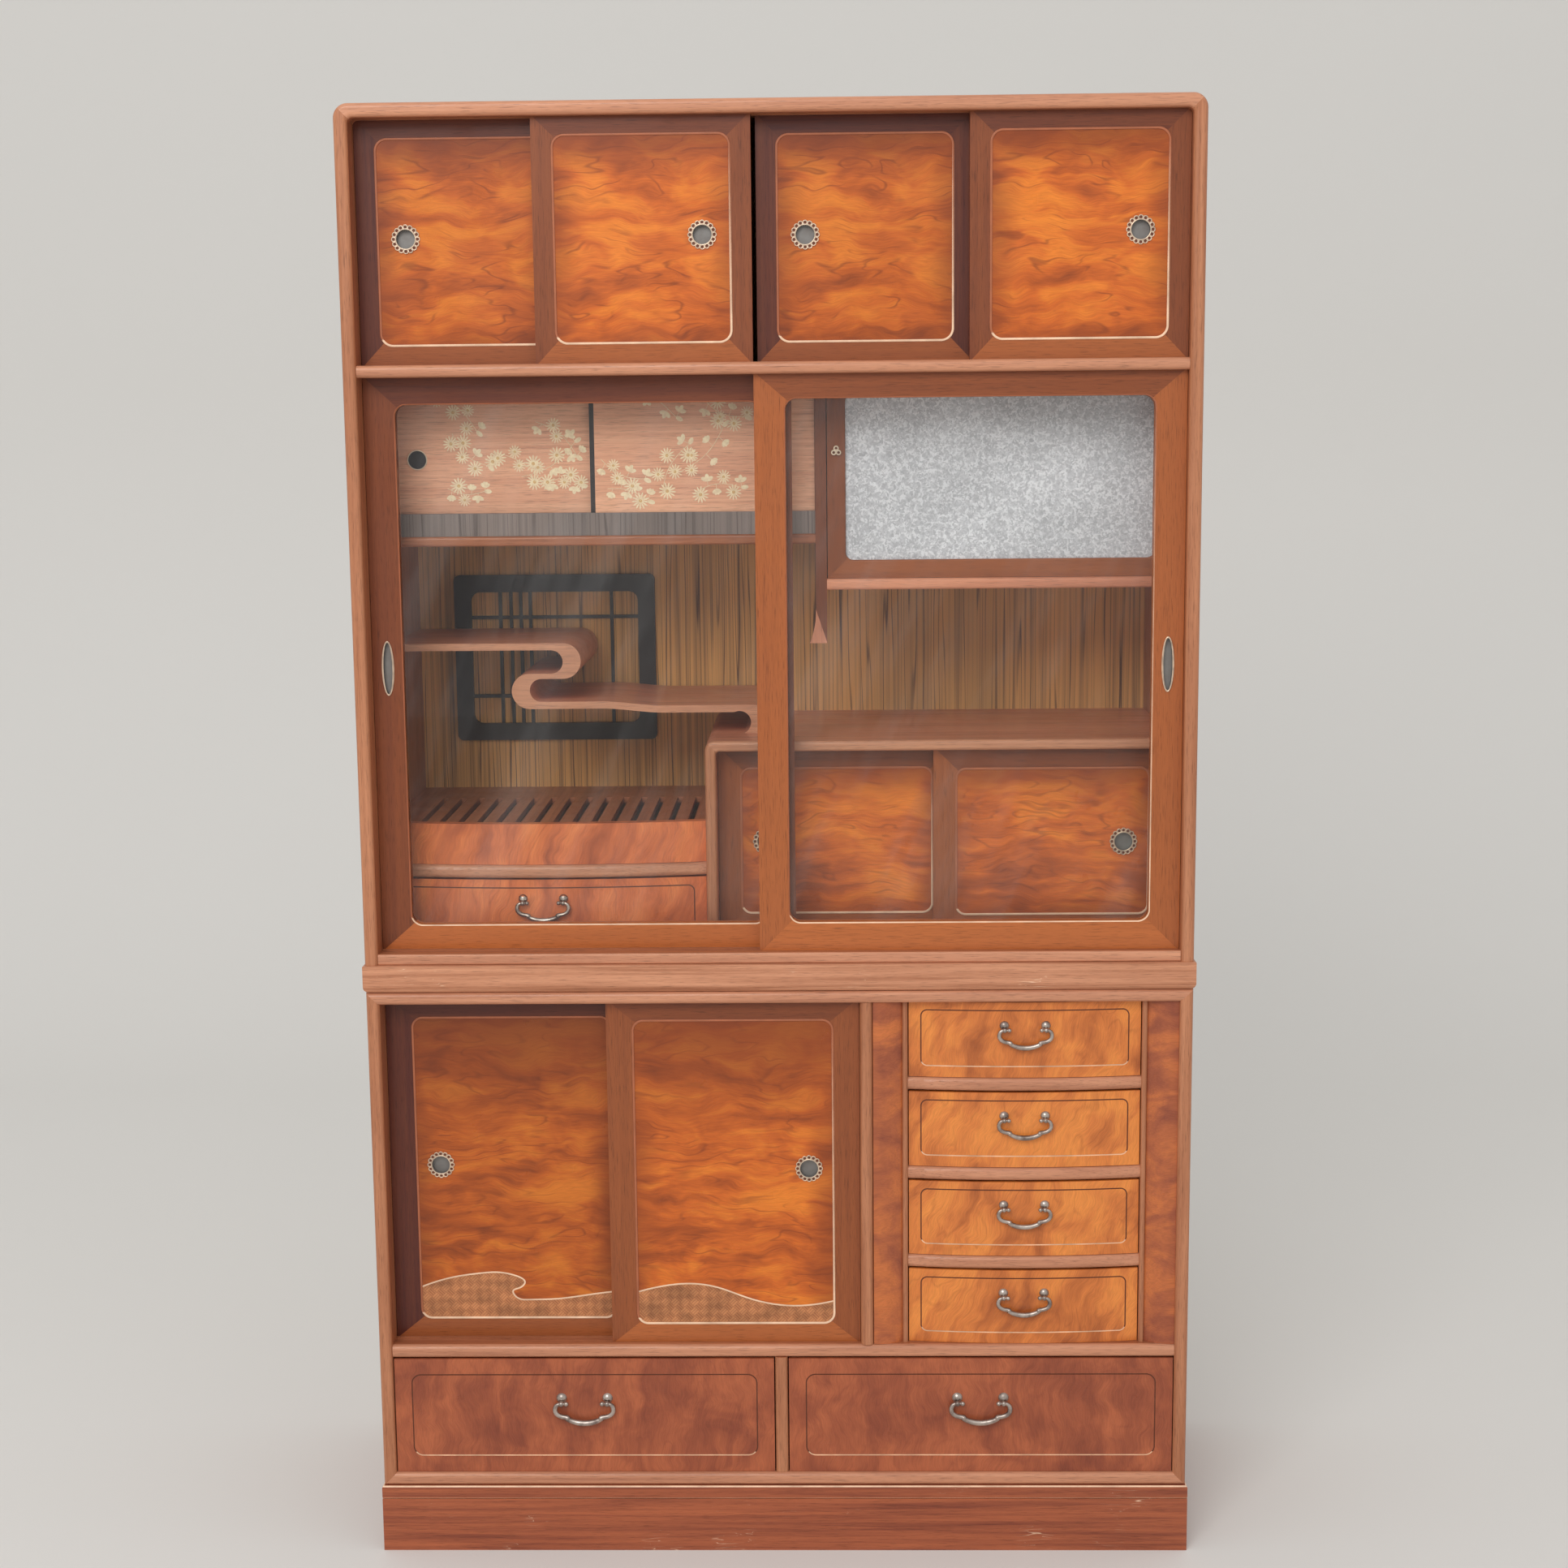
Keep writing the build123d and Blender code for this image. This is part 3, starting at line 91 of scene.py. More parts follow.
class CabinetWoods(PropertyGroup):
    """The woods of the two cases, the doors and the drawers."""
    case_light: colour("Case, light", "Lightest grain of the case boards", 196, 124, 84)
    case_dark: colour("Case, dark", "Darkest grain of the case boards", 136, 74, 48)
    # The edge tones are the case wood painted lighter, as painted highlight where the rounded front
    # edges catch the light; the level edges are painted lighter still.
    edge_light: colour("Upright edges, light", "Lightest grain of upright edges", 205, 140, 102)
    edge_dark: colour("Upright edges, dark", "Darkest grain of upright edges", 148, 86, 54)
    rail_light: colour("Level edges, light", "Lightest grain of level edges", 222, 158, 122)
    rail_dark: colour("Level edges, dark", "Darkest grain of level edges", 170, 110, 82)
    frame_light: colour("Frames, light", "Door frames where they are lightest", 214, 122, 62)
    frame_dark: colour("Frames, dark", "Door frames where they are darkest", 84, 38, 30)
    flame_light: colour("Burl, light", "Brightest flame of the burl panels", 236, 134, 46)
    flame_middle: colour("Burl, middle", "Ground of the burl panels", 206, 100, 36)
    flame_dark: colour("Burl, dark", "Darkest figure of the burl panels", 112, 50, 26)
    drawer_light: colour("Bow drawers, light", "Brightest figure of the bowed fronts", 236, 146, 70)
    drawer_middle: colour("Bow drawers, middle", "Ground of the bowed fronts", 210, 120, 60)
    drawer_dark: colour("Bow drawers, dark", "Dark streaks of the bowed fronts", 118, 52, 30)
    bay_light: colour("Bay, light", "Brightest figure of the fascia and bay drawer", 236, 138, 80)
    bay_middle: colour("Bay, middle", "Ground of the fascia and bay drawer", 212, 112, 64)
    bay_dark: colour("Bay, dark", "Dark streaks of the fascia and bay drawer", 140, 66, 42)
    pilaster_light: colour("Pilasters, light", "Orange bands of the pilasters", 208, 118, 64)
    pilaster_middle: colour("Pilasters, middle", "Ground of the pilasters", 172, 94, 60)
    pilaster_dark: colour("Pilasters, dark", "Purple-brown bands of the pilasters", 120, 60, 50)
    base_light: colour("Base drawers, light", "Brightest figure of the base drawers", 184, 102, 66)
    base_middle: colour("Base drawers, middle", "Ground of the base drawers", 158, 84, 56)
    base_dark: colour("Base drawers, dark", "Dark figure of the base drawers", 118, 58, 44)
    stripe_light: colour("Striped wood, light", "Ground of the striped back panel", 234, 176, 106)
    stripe_dark: colour("Striped wood, dark", "Stripes of the back panel", 84, 48, 34)
    sill_light: colour("Sill strip, light", "Ground of the striped sill strip", 140, 124, 118)
    sill_dark: colour("Sill strip, dark", "Stripes of the sill strip", 94, 80, 76)
    blossom_light: colour("Blossom doors, light", "Lightest grain of blossom doors", 250, 190, 154)
    blossom_dark: colour("Blossom doors, dark", "Darkest grain of blossom doors", 202, 132, 104)
    counter_light: colour("Counter, light", "Lightest grain round the counter", 240, 164, 128)
    counter_dark: colour("Counter, dark", "Darkest grain round the counter", 184, 110, 82)
    plain_light: colour("Hidden wood, light", "Lightest grain of boxes and backs", 196, 156, 112)
    plain_dark: colour("Hidden wood, dark", "Darkest grain of boxes and backs", 158, 116, 78)
    weave_light: colour("Woven wood, light", "Light strips of the woven panels' foot", 196, 130, 84)
    weave_dark: colour("Woven wood, dark", "Dark strips of the woven panels' foot", 150, 92, 58)
    lacquer: colour("Black lacquer", "The lattice window and dark edge strips", 44, 36, 36)
    # The pale inlay tone is also the painted highlight on beads, bevels, drawer lines and the
    # plinth moulding; the shaded tone is painted shade in drawer grooves and pull hollows.
    inlay: colour("Inlay", "Beads and inlaid lines where they catch the light", 252, 214, 180)
    inlay_dim: colour("Inlay, dim", "Beads where they turn from the light", 178, 104, 70)
    shadow_line: colour("Inlay, shaded", "The shaded side of the inlaid lines", 112, 60, 40)
    gloss: share("Lacquer roughness", "How rough the lacquer is: lower is glossier", 0.34)


class CabinetFittings(PropertyGroup):
    """Metal, glass and painted flowers."""
    bail_bright: colour("Bails, bright", "Rubbed metal of the bails", 192, 180, 170)
    bail_dull: colour("Bails, dull", "Tarnish of the bails", 118, 104, 98)
    rim_bright: colour("Pull rims", "Rims of the flush pulls", 232, 208, 182)
    dish_grey: colour("Pull dishes", "Dishes of the flush pulls", 132, 128, 124)
    glass: colour("Clear glass", "Tint of the large panes", 252, 253, 252)
    frost: colour("Frosted glass", "The frosted pane", 252, 250, 255)
    flower: colour("Flowers", "Painted petals and stems", 248, 226, 190)
    flower_eye: colour("Flower eyes", "The middles of the flowers", 220, 176, 120)
    bar: length("Bail bar", "Radius of a bail's bar", 3.2)
    grip: length("Bail grip", "Greatest radius of a bail's grip", 4.0)
    ball: length("Bail ball", "Radius of the balls at a bail's ends", 3.25)
    wire: length("Pull wire", "Radius of the wire round the petals of a pull", 0.45)
    flower_size: length("Flower", "Radius of the largest flowers", 11.5)


class CabinetStage(PropertyGroup):
    """The floor, the lamps and the camera."""
    floor: colour("Floor", "The floor and the backdrop", 226, 224, 220)
    sky: share("Sky", "Strength of the even light all round", 0.74)
    lamp: FloatProperty(name="Lamp", description="Power of the large soft lamp", default=112.0,
                        min=0.0, subtype="POWER", unit="POWER")
    lens: FloatProperty(name="Lens", description="Focal length of the camera", default=54.25,
                        min=10.0, unit="CAMERA")


# Faces of the frame's nodes

def connected(corners, count):
    """Label points so that points joined by triangles share a label: each point takes the
    lowest label round it until nothing changes."""
    label = np.arange(count)
    while True:
        lowest = label.copy()
        np.minimum.at(lowest, corners.ravel(), np.repeat(label[corners].min(1), 3))
        lowest = lowest[lowest]
        if (lowest == label).all():
            return label
        label = lowest


def span(name):
    """The lowest and highest corner of a node as x, depth and z, in millimetres."""
    low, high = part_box(name)
    return (np.array(low) - (0, FRONT, 0)) / MM, (np.array(high) - (0, FRONT, 0)) / MM


class Faces:
    """The triangles of a node: middles, directions, and the box of each one's patch."""

    def __init__(self, name):
        self.name = name
        self.mesh = nodes[name].data
        corners = np.empty(len(self.mesh.loops), np.int32)
        self.mesh.loops.foreach_get("vertex_index", corners)
        corners = corners.reshape(-1, 3)
        points = np.empty(len(self.mesh.vertices) * 3, np.float32)
        self.mesh.vertices.foreach_get("co", points)
        points = (points.reshape(-1, 3) - np.array((0, FRONT, 0))) / MM
        triangles = points[corners]
        self.x, self.depth, self.z = triangles.mean(1).T
        facing = np.empty(len(corners) * 3, np.float32)
        self.mesh.polygons.foreach_get("normal", facing)
        self.facing = facing.reshape(-1, 3)
        patch = connected(corners, len(points))[corners[:, 0]]
        low = np.full((len(points), 3), np.inf)
        high = np.full((len(points), 3), -np.inf)
        np.minimum.at(low, patch, triangles.min(1))
        np.maximum.at(high, patch, triangles.max(1))
        self.low, self.high = low[patch], high[patch]
        self.size = self.high - self.low

    def near(self, x, z, reach, widest):
        """Faces round a point whose patch is no wider than a given size."""
        small = (self.size[:, 0] < widest) & (self.size[:, 2] < widest)
        return small & (np.hypot(self.x - x, self.z - z) < reach)

    def front_edges(self, reach):
        """Faces on the front edge of a board, down to a reach in depth."""
        return (self.depth < span(self.name)[0][1] + reach) & (self.facing[:, 1] < -0.02)

    def coat(self, material, *coats):
        """Give every face a material, then lay others over it where their masks say."""
        index = np.zeros(len(self.x), np.int32)
        self.mesh.materials.clear()
        self.mesh.materials.append(material)
        for number, (other, where) in enumerate(coats, 1):
            self.mesh.materials.append(other)
            index[where] = number
        self.mesh.polygons.foreach_set("material_index", index)
        self.mesh.update()


# Materials

class Finish:
    """A material in the making, with short ways to add nodes and join them."""

    def __init__(self, name):
        self.material = bpy.data.materials.new(name)
        self.material.use_nodes = True
        self.tree = self.material.node_tree
        self.shader = self.tree.nodes["Principled BSDF"]

    def feed(self, socket, value):
        """Join a socket to another, or set it."""
        if isinstance(value, bpy.types.NodeSocket):
            self.tree.links.new(value, socket)
        else:
            socket.default_value = value

    def node(self, kind, sockets, **settings):
        """A new node with its settings and sockets filled in."""
        made = self.tree.nodes.new("ShaderNode" + kind)
        for key, value in settings.items():
            setattr(made, key, value)
        for key, value in sockets.items():
            self.feed(made.inputs[key], value)
        return made

    def place(self, size, centre=(0, 0, 0), turn=0.0, start=None):
        """Object coordinates about a centre, turned about y and measured in sizes."""
        if start is None:
            start = self.node("TexCoord", {}).outputs["Object"]
        spot = {"Vector": start, "Location": centre, "Rotation": (0, turn, 0), "Scale": size}
        return self.node("Mapping", spot, vector_type="TEXTURE").outputs["Vector"]

    def noise(self, where, seed=0.0, detail=4.0, rough=0.55, warp=0.0, output="Fac"):
        """Cloudy noise about one unit across."""
        sockets = {"Vector": where, "W": seed, "Scale": 1.0, "Detail": detail,
                   "Roughness": rough, "Distortion": warp}
        return self.node("TexNoise", sockets, noise_dimensions="4D").outputs[output]

    def clouds(self, size, *values):
        """Noise of one size, in millimetres, every way."""
        return self.noise(self.place((size * MM,) * 3), *values)

    def grain(self, along, run, across, *values, start=None, **more):
        """Noise drawn out along one axis, in millimetres."""
        size = [across * MM] * 3
        size[along] = run * MM
        return self.noise(self.place(size, start=start), *values, **more)

    def maths(self, operation, *values):
        """A sum on one, two or three numbers."""
        return self.node("Math", dict(enumerate(values)), operation=operation).outputs[0]

    def times(self, first, second):
        """Two numbers multiplied."""
        return self.maths("MULTIPLY", first, second)

    def wave(self, value, pace):
        """The size of the sine of a number times a pace."""
        return self.maths("ABSOLUTE", self.maths("SINE", self.times(value, pace)))

    def vector(self, operation, first, second):
        """A sum on two vectors."""
        return self.node("VectorMath", {0: first, 1: second}, operation=operation).outputs[0]

    def fit(self, value, start, end, first=0.0, last=1.0):
        """A number carried smoothly from one range to another and held at its ends."""
        sockets = {"Value": value, "From Min": start, "From Max": end,
                   "To Min": first, "To Max": last}
        return self.node("MapRange", sockets, interpolation_type="SMOOTHSTEP").outputs["Result"]

    def ramp(self, value, *stops):
        """Colours that follow a number: each stop is a place and a colour."""
        made = self.node("ValToRGB", {"Fac": value})
        elements = made.color_ramp.elements
        while len(elements) < len(stops):
            elements.new(0.5)
        for element, (place, shade) in zip(elements, stops):
            element.position = place
            element.color = (*shade, 1.0)
        return made.outputs["Color"]

    def mix(self, factor, first, second, blend="MIX"):
        """Two colours mixed."""
        made = self.node("Mix", {0: factor}, data_type="RGBA", blend_type=blend)
        for number, value in ((6, first), (7, second)):
            if not isinstance(value, bpy.types.NodeSocket):
                value = (*value, 1.0)
            self.feed(made.inputs[number], value)
        return made.outputs[2]

    def grey(self, value, low, high):
        """A grey to multiply a colour by, from a number between 0 and 1."""
        return self.ramp(value, (0.0, (low,) * 3), (1.0, (high,) * 3))

    def shaded(self, shade, value, start, end, low, high):
        """A colour made darker or lighter by a grey that follows a number."""
        return self.mix(1.0, shade, self.grey(self.fit(value, start, end), low, high), "MULTIPLY")

    def blended(self, factor, first, second):
        """Two shaders mixed."""
        return self.node("MixShader", {0: factor, 1: first, 2: second}).outputs[0]

    def dent(self, height, strength, distance=0.2 * MM):
        """Bumps from a height between 0 and 1."""
        bump = self.node("Bump", {"Height": height, "Strength": strength, "Distance": distance})
        self.feed(self.shader.inputs["Normal"], bump.outputs["Normal"])

    def surface(self, shade, roughness, coat=0.0, metal=0.0):
        """Set the shader's colour, roughness, lacquer and metal."""
        self.feed(self.shader.inputs["Base Color"], shade)
        self.feed(self.shader.inputs["Roughness"], roughness)
        for socket, value in (("Coat Weight", coat), ("Coat Roughness", 0.12), ("Metallic", metal),
                              ("Specular IOR Level", 0.5 if metal else 0.28)):
            self.shader.inputs[socket].default_value = value
        return self.material

    def shown(self, shader):
        """Show another shader instead of the first."""
        self.feed(self.tree.nodes["Material Output"].inputs["Surface"], shader)
        return self.material


def named_material(recipe):
    """Turn a recipe into a maker of materials that first looks for one of the given name."""
    @functools.wraps(recipe)
    def find_or_make(name, *values, **more):
        return bpy.data.materials.get(name) or recipe(Finish(name), *values, **more)
    return find_or_make


def between(first, second, part):
    """A colour part of the way from one to another."""
    return tuple(a + (b - a) * part for a, b in zip(first, second))


@named_material
def straight_wood(wood, along, light, dark, gloss, across=8.0, pores=0.6, coat=0.2, seed=0.0):
    """Straight-grained wood. Noise stretched along the grain picks a tone from dark to light,
    broad noise shades whole areas, and fine pores darken, roughen and dent it."""
    grain = wood.grain(along, 330, across, seed, 5, 0.62, 0.6)
    broad = wood.grain(along, 420, 75, seed + 2, 2)
    fibre = wood.grain(along, 22, 0.8, seed + 4, 2, 0.6)
    tone = wood.ramp(grain, (0.28, dark), (0.5, between(dark, light, 0.55)), (0.7, light))
    shade = wood.mix(0.35, tone, wood.ramp(broad, (0.3, dark), (0.7, light)))
    shade = wood.shaded(shade, fibre, 0.52, 0.7, 1.0, pores)
    wear = wood.clouds(90, seed + 6, 5, 0.65)
    wood.dent(fibre, 0.18)
    return wood.surface(shade, wood.fit(wear, 0.3, 0.75, gloss - 0.06, gloss + 0.16), coat)


@named_material
def scuffed_wood(wood, along, light, dark, gloss, bare):
    """Straight-grained wood with scratches, where a thin wavy noise comes near its middle, and
    small knocks, where a fine noise is high; both show bare pale wood."""
    grain = wood.grain(along, 330, 7, 11.0, 5, 0.62, 0.6)
    fibre = wood.grain(along, 22, 0.8, 12.0, 2, 0.6)
    shade = wood.ramp(grain, (0.26, dark), (0.5, between(dark, light, 0.6)), (0.72, light))
    shade = wood.shaded(shade, fibre, 0.52, 0.7, 1.0, 0.66)
    line = wood.grain(along, 75, 5, 13.0, 1, 0.4, 0.8)
    middle = wood.maths("ABSOLUTE", wood.maths("SUBTRACT", line, 0.5))
    scratch = wood.fit(middle, 0.0, 0.011, 1.0, 0.0)
    knock = wood.fit(wood.grain(along, 6, 2.4, 15.0, 2), 0.69, 0.75)
    patch = wood.fit(wood.clouds(60, 14.0, 3), 0.55, 0.7)
    marks = wood.times(wood.maths("MAXIMUM", scratch, knock), patch)
    shade = wood.mix(wood.times(marks, 0.6), shade, bare)
    wear = wood.clouds(80, 16.0, 5, 0.65)
    wood.dent(wood.maths("SUBTRACT", fibre, marks), 0.3)
    return wood.surface(shade, wood.fit(wear, 0.3, 0.75, gloss, gloss + 0.22), 0.1)


@named_material
def figured_wood(wood, along, tones, gloss, centre=(0, 0, 0), half=None, run=150, across=30,
                 lean=0.0, seed=0.0, top=60, lines=0.5):
    """Figured veneer. Noise moves every point a little, so that what is drawn from there flows.
    Soft clouds and a finer stretched noise together pick a tone. Thin dark lines follow the
    heights of a third noise, where the sine of a multiple of it is near nought, and show in
    patches. Where half sizes are given, the tone falls to a darker one near the panel's edges
    and over a deeper band at its top, as painted shade from the frame and the overhang above."""
    dark, middle, light = tones
    swirl = 50 * MM
    where = wood.place((1, 1, 1), [value * MM for value in centre], lean)
    drift = wood.grain(ALONG_Z, 60, 85, seed, 2, start=where, output="Color")
    drift = wood.vector("SUBTRACT", drift, (0.5, 0.5, 0.5))
    moved = wood.vector("ADD", where, wood.vector("MULTIPLY", drift, (swirl, 0.0, swirl)))
    cloud = wood.grain(along, run * 0.62, across * 1.5, seed + 1, 3, 0.5, 0.9, start=moved)
    flame = wood.grain(along, run, across * 0.75, seed + 2, 4, 0.55, 1.1, start=moved)
    height = wood.maths("MULTIPLY_ADD", cloud, 0.55, wood.times(flame, 0.45))
    shade = wood.ramp(height,
                      (0.33, between(dark, middle, 0.25)), (0.43, between(dark, middle, 0.7)),
                      (0.5, between(middle, light, 0.1)), (0.58, between(middle, light, 0.7)),
                      (0.68, light))
    level = wood.grain(along, run, across, seed + 3, 2, 0.4, 0.5, start=moved)
    patch = wood.fit(wood.grain(ALONG_Z, 50, 70, seed + 4, 2, start=where), 0.42, 0.56)
    line = wood.times(wood.fit(wood.wave(level, 26.0), 0.0, 0.42, 1.0, 0.0), patch)
    shade = wood.mix(wood.times(line, lines), shade, dark)
    silk = wood.grain(along, 14, 1.1, seed + 5, 2, start=moved)
    shade = wood.shaded(shade, silk, 0.35, 0.65, 0.9, 1.06)
    # Painted shade: darker near the panel's edges and over a band at its top, from the frame and
    # the overhang above.
    if half is not None:
        parts = wood.node("SeparateXYZ", {0: moved}).outputs
        sides = wood.fit(wood.maths("ABSOLUTE", parts[0]), (half[0] - 42) * MM, (half[0] + 8) * MM)
        low = wood.fit(parts[2], (30 - half[1]) * MM, (-8 - half[1]) * MM)
        high = wood.fit(parts[2], (half[1] - top) * MM, (half[1] + 4) * MM, 0.0, 1.3)
        edge = wood.maths("MAXIMUM", wood.maths("MAXIMUM", sides, low), high)
        shade = wood.mix(wood.times(edge, 0.62), shade, between(dark, middle, 0.1))
    wear = wood.clouds(70, seed + 6, 4, 0.6)
    wood.dent(silk, 0.06)
    return wood.surface(shade, wood.fit(wear, 0.3, 0.75, gloss - 0.08, gloss + 0.08), 0.12)


@named_material
def striped_wood(wood, light, dark, gloss):
    """Upright stripes: noise drawn out along z gives broad stripes. Thin dark lines stand where
    the sine of x, pushed aside by a second such noise, is near nought, and fade in places."""
    bands = wood.grain(ALONG_Z, 1400, 9, 3.0, 3, 0.6, 0.1)
    aside = wood.grain(ALONG_Z, 900, 24, 4.0, 2)
    across = wood.node("SeparateXYZ", {0: wood.place((8.5 * MM, 1, 1))}).outputs[0]
    phase = wood.maths("MULTIPLY_ADD", aside, 6.0, across)
    fade = wood.fit(wood.grain(ALONG_Z, 260, 14, 6.0, 2), 0.36, 0.58, 0.15, 0.9)
    lines = wood.times(wood.fit(wood.wave(phase, math.pi), 0.04, 0.36, 1.0, 0.0), fade)
    broad = wood.grain(ALONG_Z, 400, 120, 5.0, 2)
    shade = wood.ramp(bands, (0.34, between(dark, light, 0.3)), (0.45, between(dark, light, 0.8)),
                      (0.52, light), (0.66, between(dark, light, 0.6)))
    shade = wood.shaded(wood.mix(lines, shade, dark), broad, 0.3, 0.7, 0.75, 1.1)
    wood.dent(lines, 0.15)
    return wood.surface(shade, wood.fit(broad, 0.3, 0.7, gloss, gloss + 0.1), 0.1)


@named_material
def woven_wood(wood, light, dark, gloss):
    """Basket weave at a slant: a checkerboard picks at each square between two sets of
    rounded strips that cross at right angles, each strip the sine of its place. The tone
    follows the strips' height: painted shade at their edges and painted highlight on their crowns."""
    pitch, strips = 9 * MM, 3
    where = wood.place((pitch,) * 3, (0, FRONT - 3 * MM, 0), math.radians(45))
    over = wood.node("TexChecker", {"Vector": where, "Scale": 1.0}).outputs["Fac"]
    parts = wood.node("SeparateXYZ", {0: where}).outputs
    first, second = [wood.wave(parts[axis], strips * math.pi) for axis in (ALONG_X, ALONG_Z)]
    under = wood.maths("SUBTRACT", 1.0, over)
    height = wood.maths("ADD", wood.times(first, over), wood.times(second, under))
    # Painted shade and highlight: the tone follows each strip's rounded height; one set of strips
    # is also lighter than the other.
    tone = wood.maths("MULTIPLY_ADD", over, 0.35, wood.times(height, 0.65))
    shade = wood.ramp(tone, (0.1, dark), (0.55, between(dark, light, 0.6)), (0.95, light))
    mottle = wood.grain(ALONG_Z, 20, 30, 7.0, 4)
    shade = wood.shaded(shade, mottle, 0.3, 0.7, 0.7, 1.15)
    wood.dent(height, 0.5, 0.4 * MM)
    return wood.surface(shade, wood.fit(mottle, 0.3, 0.7, gloss, gloss + 0.15), 0.2)


@named_material
def lacquered(lacquer, tone, gloss):
    """Black lacquer with faint dust and rubbed patches, from two noises."""
    dust = lacquer.clouds(20, 1.0, 5, 0.7)
    rub = lacquer.clouds(100, 2.0, 3)
    dusty = between(tone, (0.2, 0.16, 0.13), 0.35)
    lacquer.dent(dust, 0.06)
    return lacquer.surface(lacquer.mix(lacquer.fit(dust, 0.45, 0.8, 0.0, 0.3), tone, dusty),
                           lacquer.fit(rub, 0.3, 0.7, gloss, gloss + 0.2), 0.2)


@named_material
def inlaid(line, tone, gloss):
    """Pale inlaid wood, its tone and roughness wandering along the line."""
    drift = line.clouds(30, 2.0, 4)
    shade = line.ramp(drift, (0.3, between(tone, (0.16, 0.06, 0.03), 0.4)), (0.65, tone))
    return line.surface(shade, line.fit(drift, 0.3, 0.7, gloss - 0.04, gloss + 0.14), 0.2)


@named_material
def aged_metal(metal, bright, dull, roughness, metallic):
    """Worn metal: noise spreads tarnish over it, and where the tarnish lies it is rougher."""
    tarnish = metal.clouds(11, 1.0, 4, 0.5)
    metal.dent(metal.clouds(0.8, 2.0, 2), 0.04, 0.1 * MM)
    return metal.surface(metal.ramp(tarnish, (0.42, bright), (0.72, dull)),
                         metal.fit(tarnish, 0.3, 0.7, roughness, roughness + 0.14), 0.0, metallic)


@named_material
def clear_glass(glass, tint):
    """A pane: see-through, with the reflection that its angle gives, and faint wiped streaks,
    from a stretched noise, that scatter a little light."""
    mirror = glass.node("BsdfGlossy", {"Color": (1, 1, 1, 1), "Roughness": 0.02}).outputs[0]
    clear = glass.node("BsdfTransparent", {"Color": (*tint, 1.0)}).outputs[0]
    dust = glass.node("BsdfDiffuse", {"Color": (0.8, 0.8, 0.8, 1)}).outputs[0]
    front = glass.maths("SUBTRACT", 1.0, glass.node("NewGeometry", {}).outputs["Backfacing"])
    bounce = glass.times(glass.node("Fresnel", {"IOR": 1.45}).outputs[0], front)
    streak = glass.noise(glass.place((0.05, 0.05, 0.3), turn=math.radians(24)), 1.0, 5, 0.6)
    haze = glass.times(glass.fit(streak, 0.4, 0.75, 0.0, 0.05), front)
    return glass.shown(glass.blended(bounce, glass.blended(haze, clear, dust), mirror))


@named_material
def frosted_glass(glass, tone):
    """Crackled glass: the edges of cells, bent by noise, are painted pale as short curls, a painted
    highlight where they catch the light; finer noise breaks them up and mottles the ground, and a
    little shows through."""
    where = glass.place((12 * MM,) * 3)
    drift = glass.noise(where, 1.0, 4, 0.65, output="Color")
    bent = glass.vector("ADD", where, glass.vector("MULTIPLY", drift, (2.2, 2.2, 2.2)))
    cells = glass.node("TexVoronoi", {"Vector": bent, "Scale": 1.0}, feature="DISTANCE_TO_EDGE")
    # Painted highlight on the cell edges.
    curl = glass.fit(cells.outputs["Distance"], 0.02, 0.2, 1.0, 0.0)
    fleck = glass.clouds(5, 2.0, 3, 0.7, 1.2)
    height = glass.times(curl, glass.fit(fleck, 0.44, 0.6))
    height = glass.maths("MULTIPLY_ADD", height, 0.6, glass.times(fleck, 0.7))
    grey = between(tone, (0.16, 0.15, 0.18), 0.55)
    shade = glass.ramp(height, (0.24, grey), (0.4, between(tone, grey, 0.5)), (0.7, tone))
    shade = glass.shaded(shade, glass.grain(ALONG_Z, 90, 120, 3.0, 2), 0.35, 0.65, 0.86, 1.0)
    glass.dent(height, 0.6, 0.6 * MM)
    glass.surface(shade, glass.fit(fleck, 0.3, 0.7, 0.12, 0.4), 0.3)
    clear = glass.node("BsdfTransparent", {"Color": (1, 1, 1, 1)}).outputs[0]
    return glass.shown(glass.blended(0.1, glass.shader.outputs[0], clear))


@named_material
def painted(coat, tone, roughness):
    """Thin old paint, its strength wandering and slightly rubbed."""
    rub = coat.clouds(6, 3.0, 4, 0.65)
    shade = coat.ramp(rub, (0.3, between(tone, (0.5, 0.24, 0.12), 0.45)), (0.6, tone))
    return coat.surface(shade, coat.fit(rub, 0.3, 0.7, roughness, roughness + 0.2))


@named_material
def plain_floor(floor, tone):
    """A pale studio floor with a very faint mottle."""
    mottle = floor.clouds(600, 1.0, 4)
    return floor.surface(floor.mix(1.0, tone, floor.grey(mottle, 0.985, 1.0), "MULTIPLY"), 0.8)


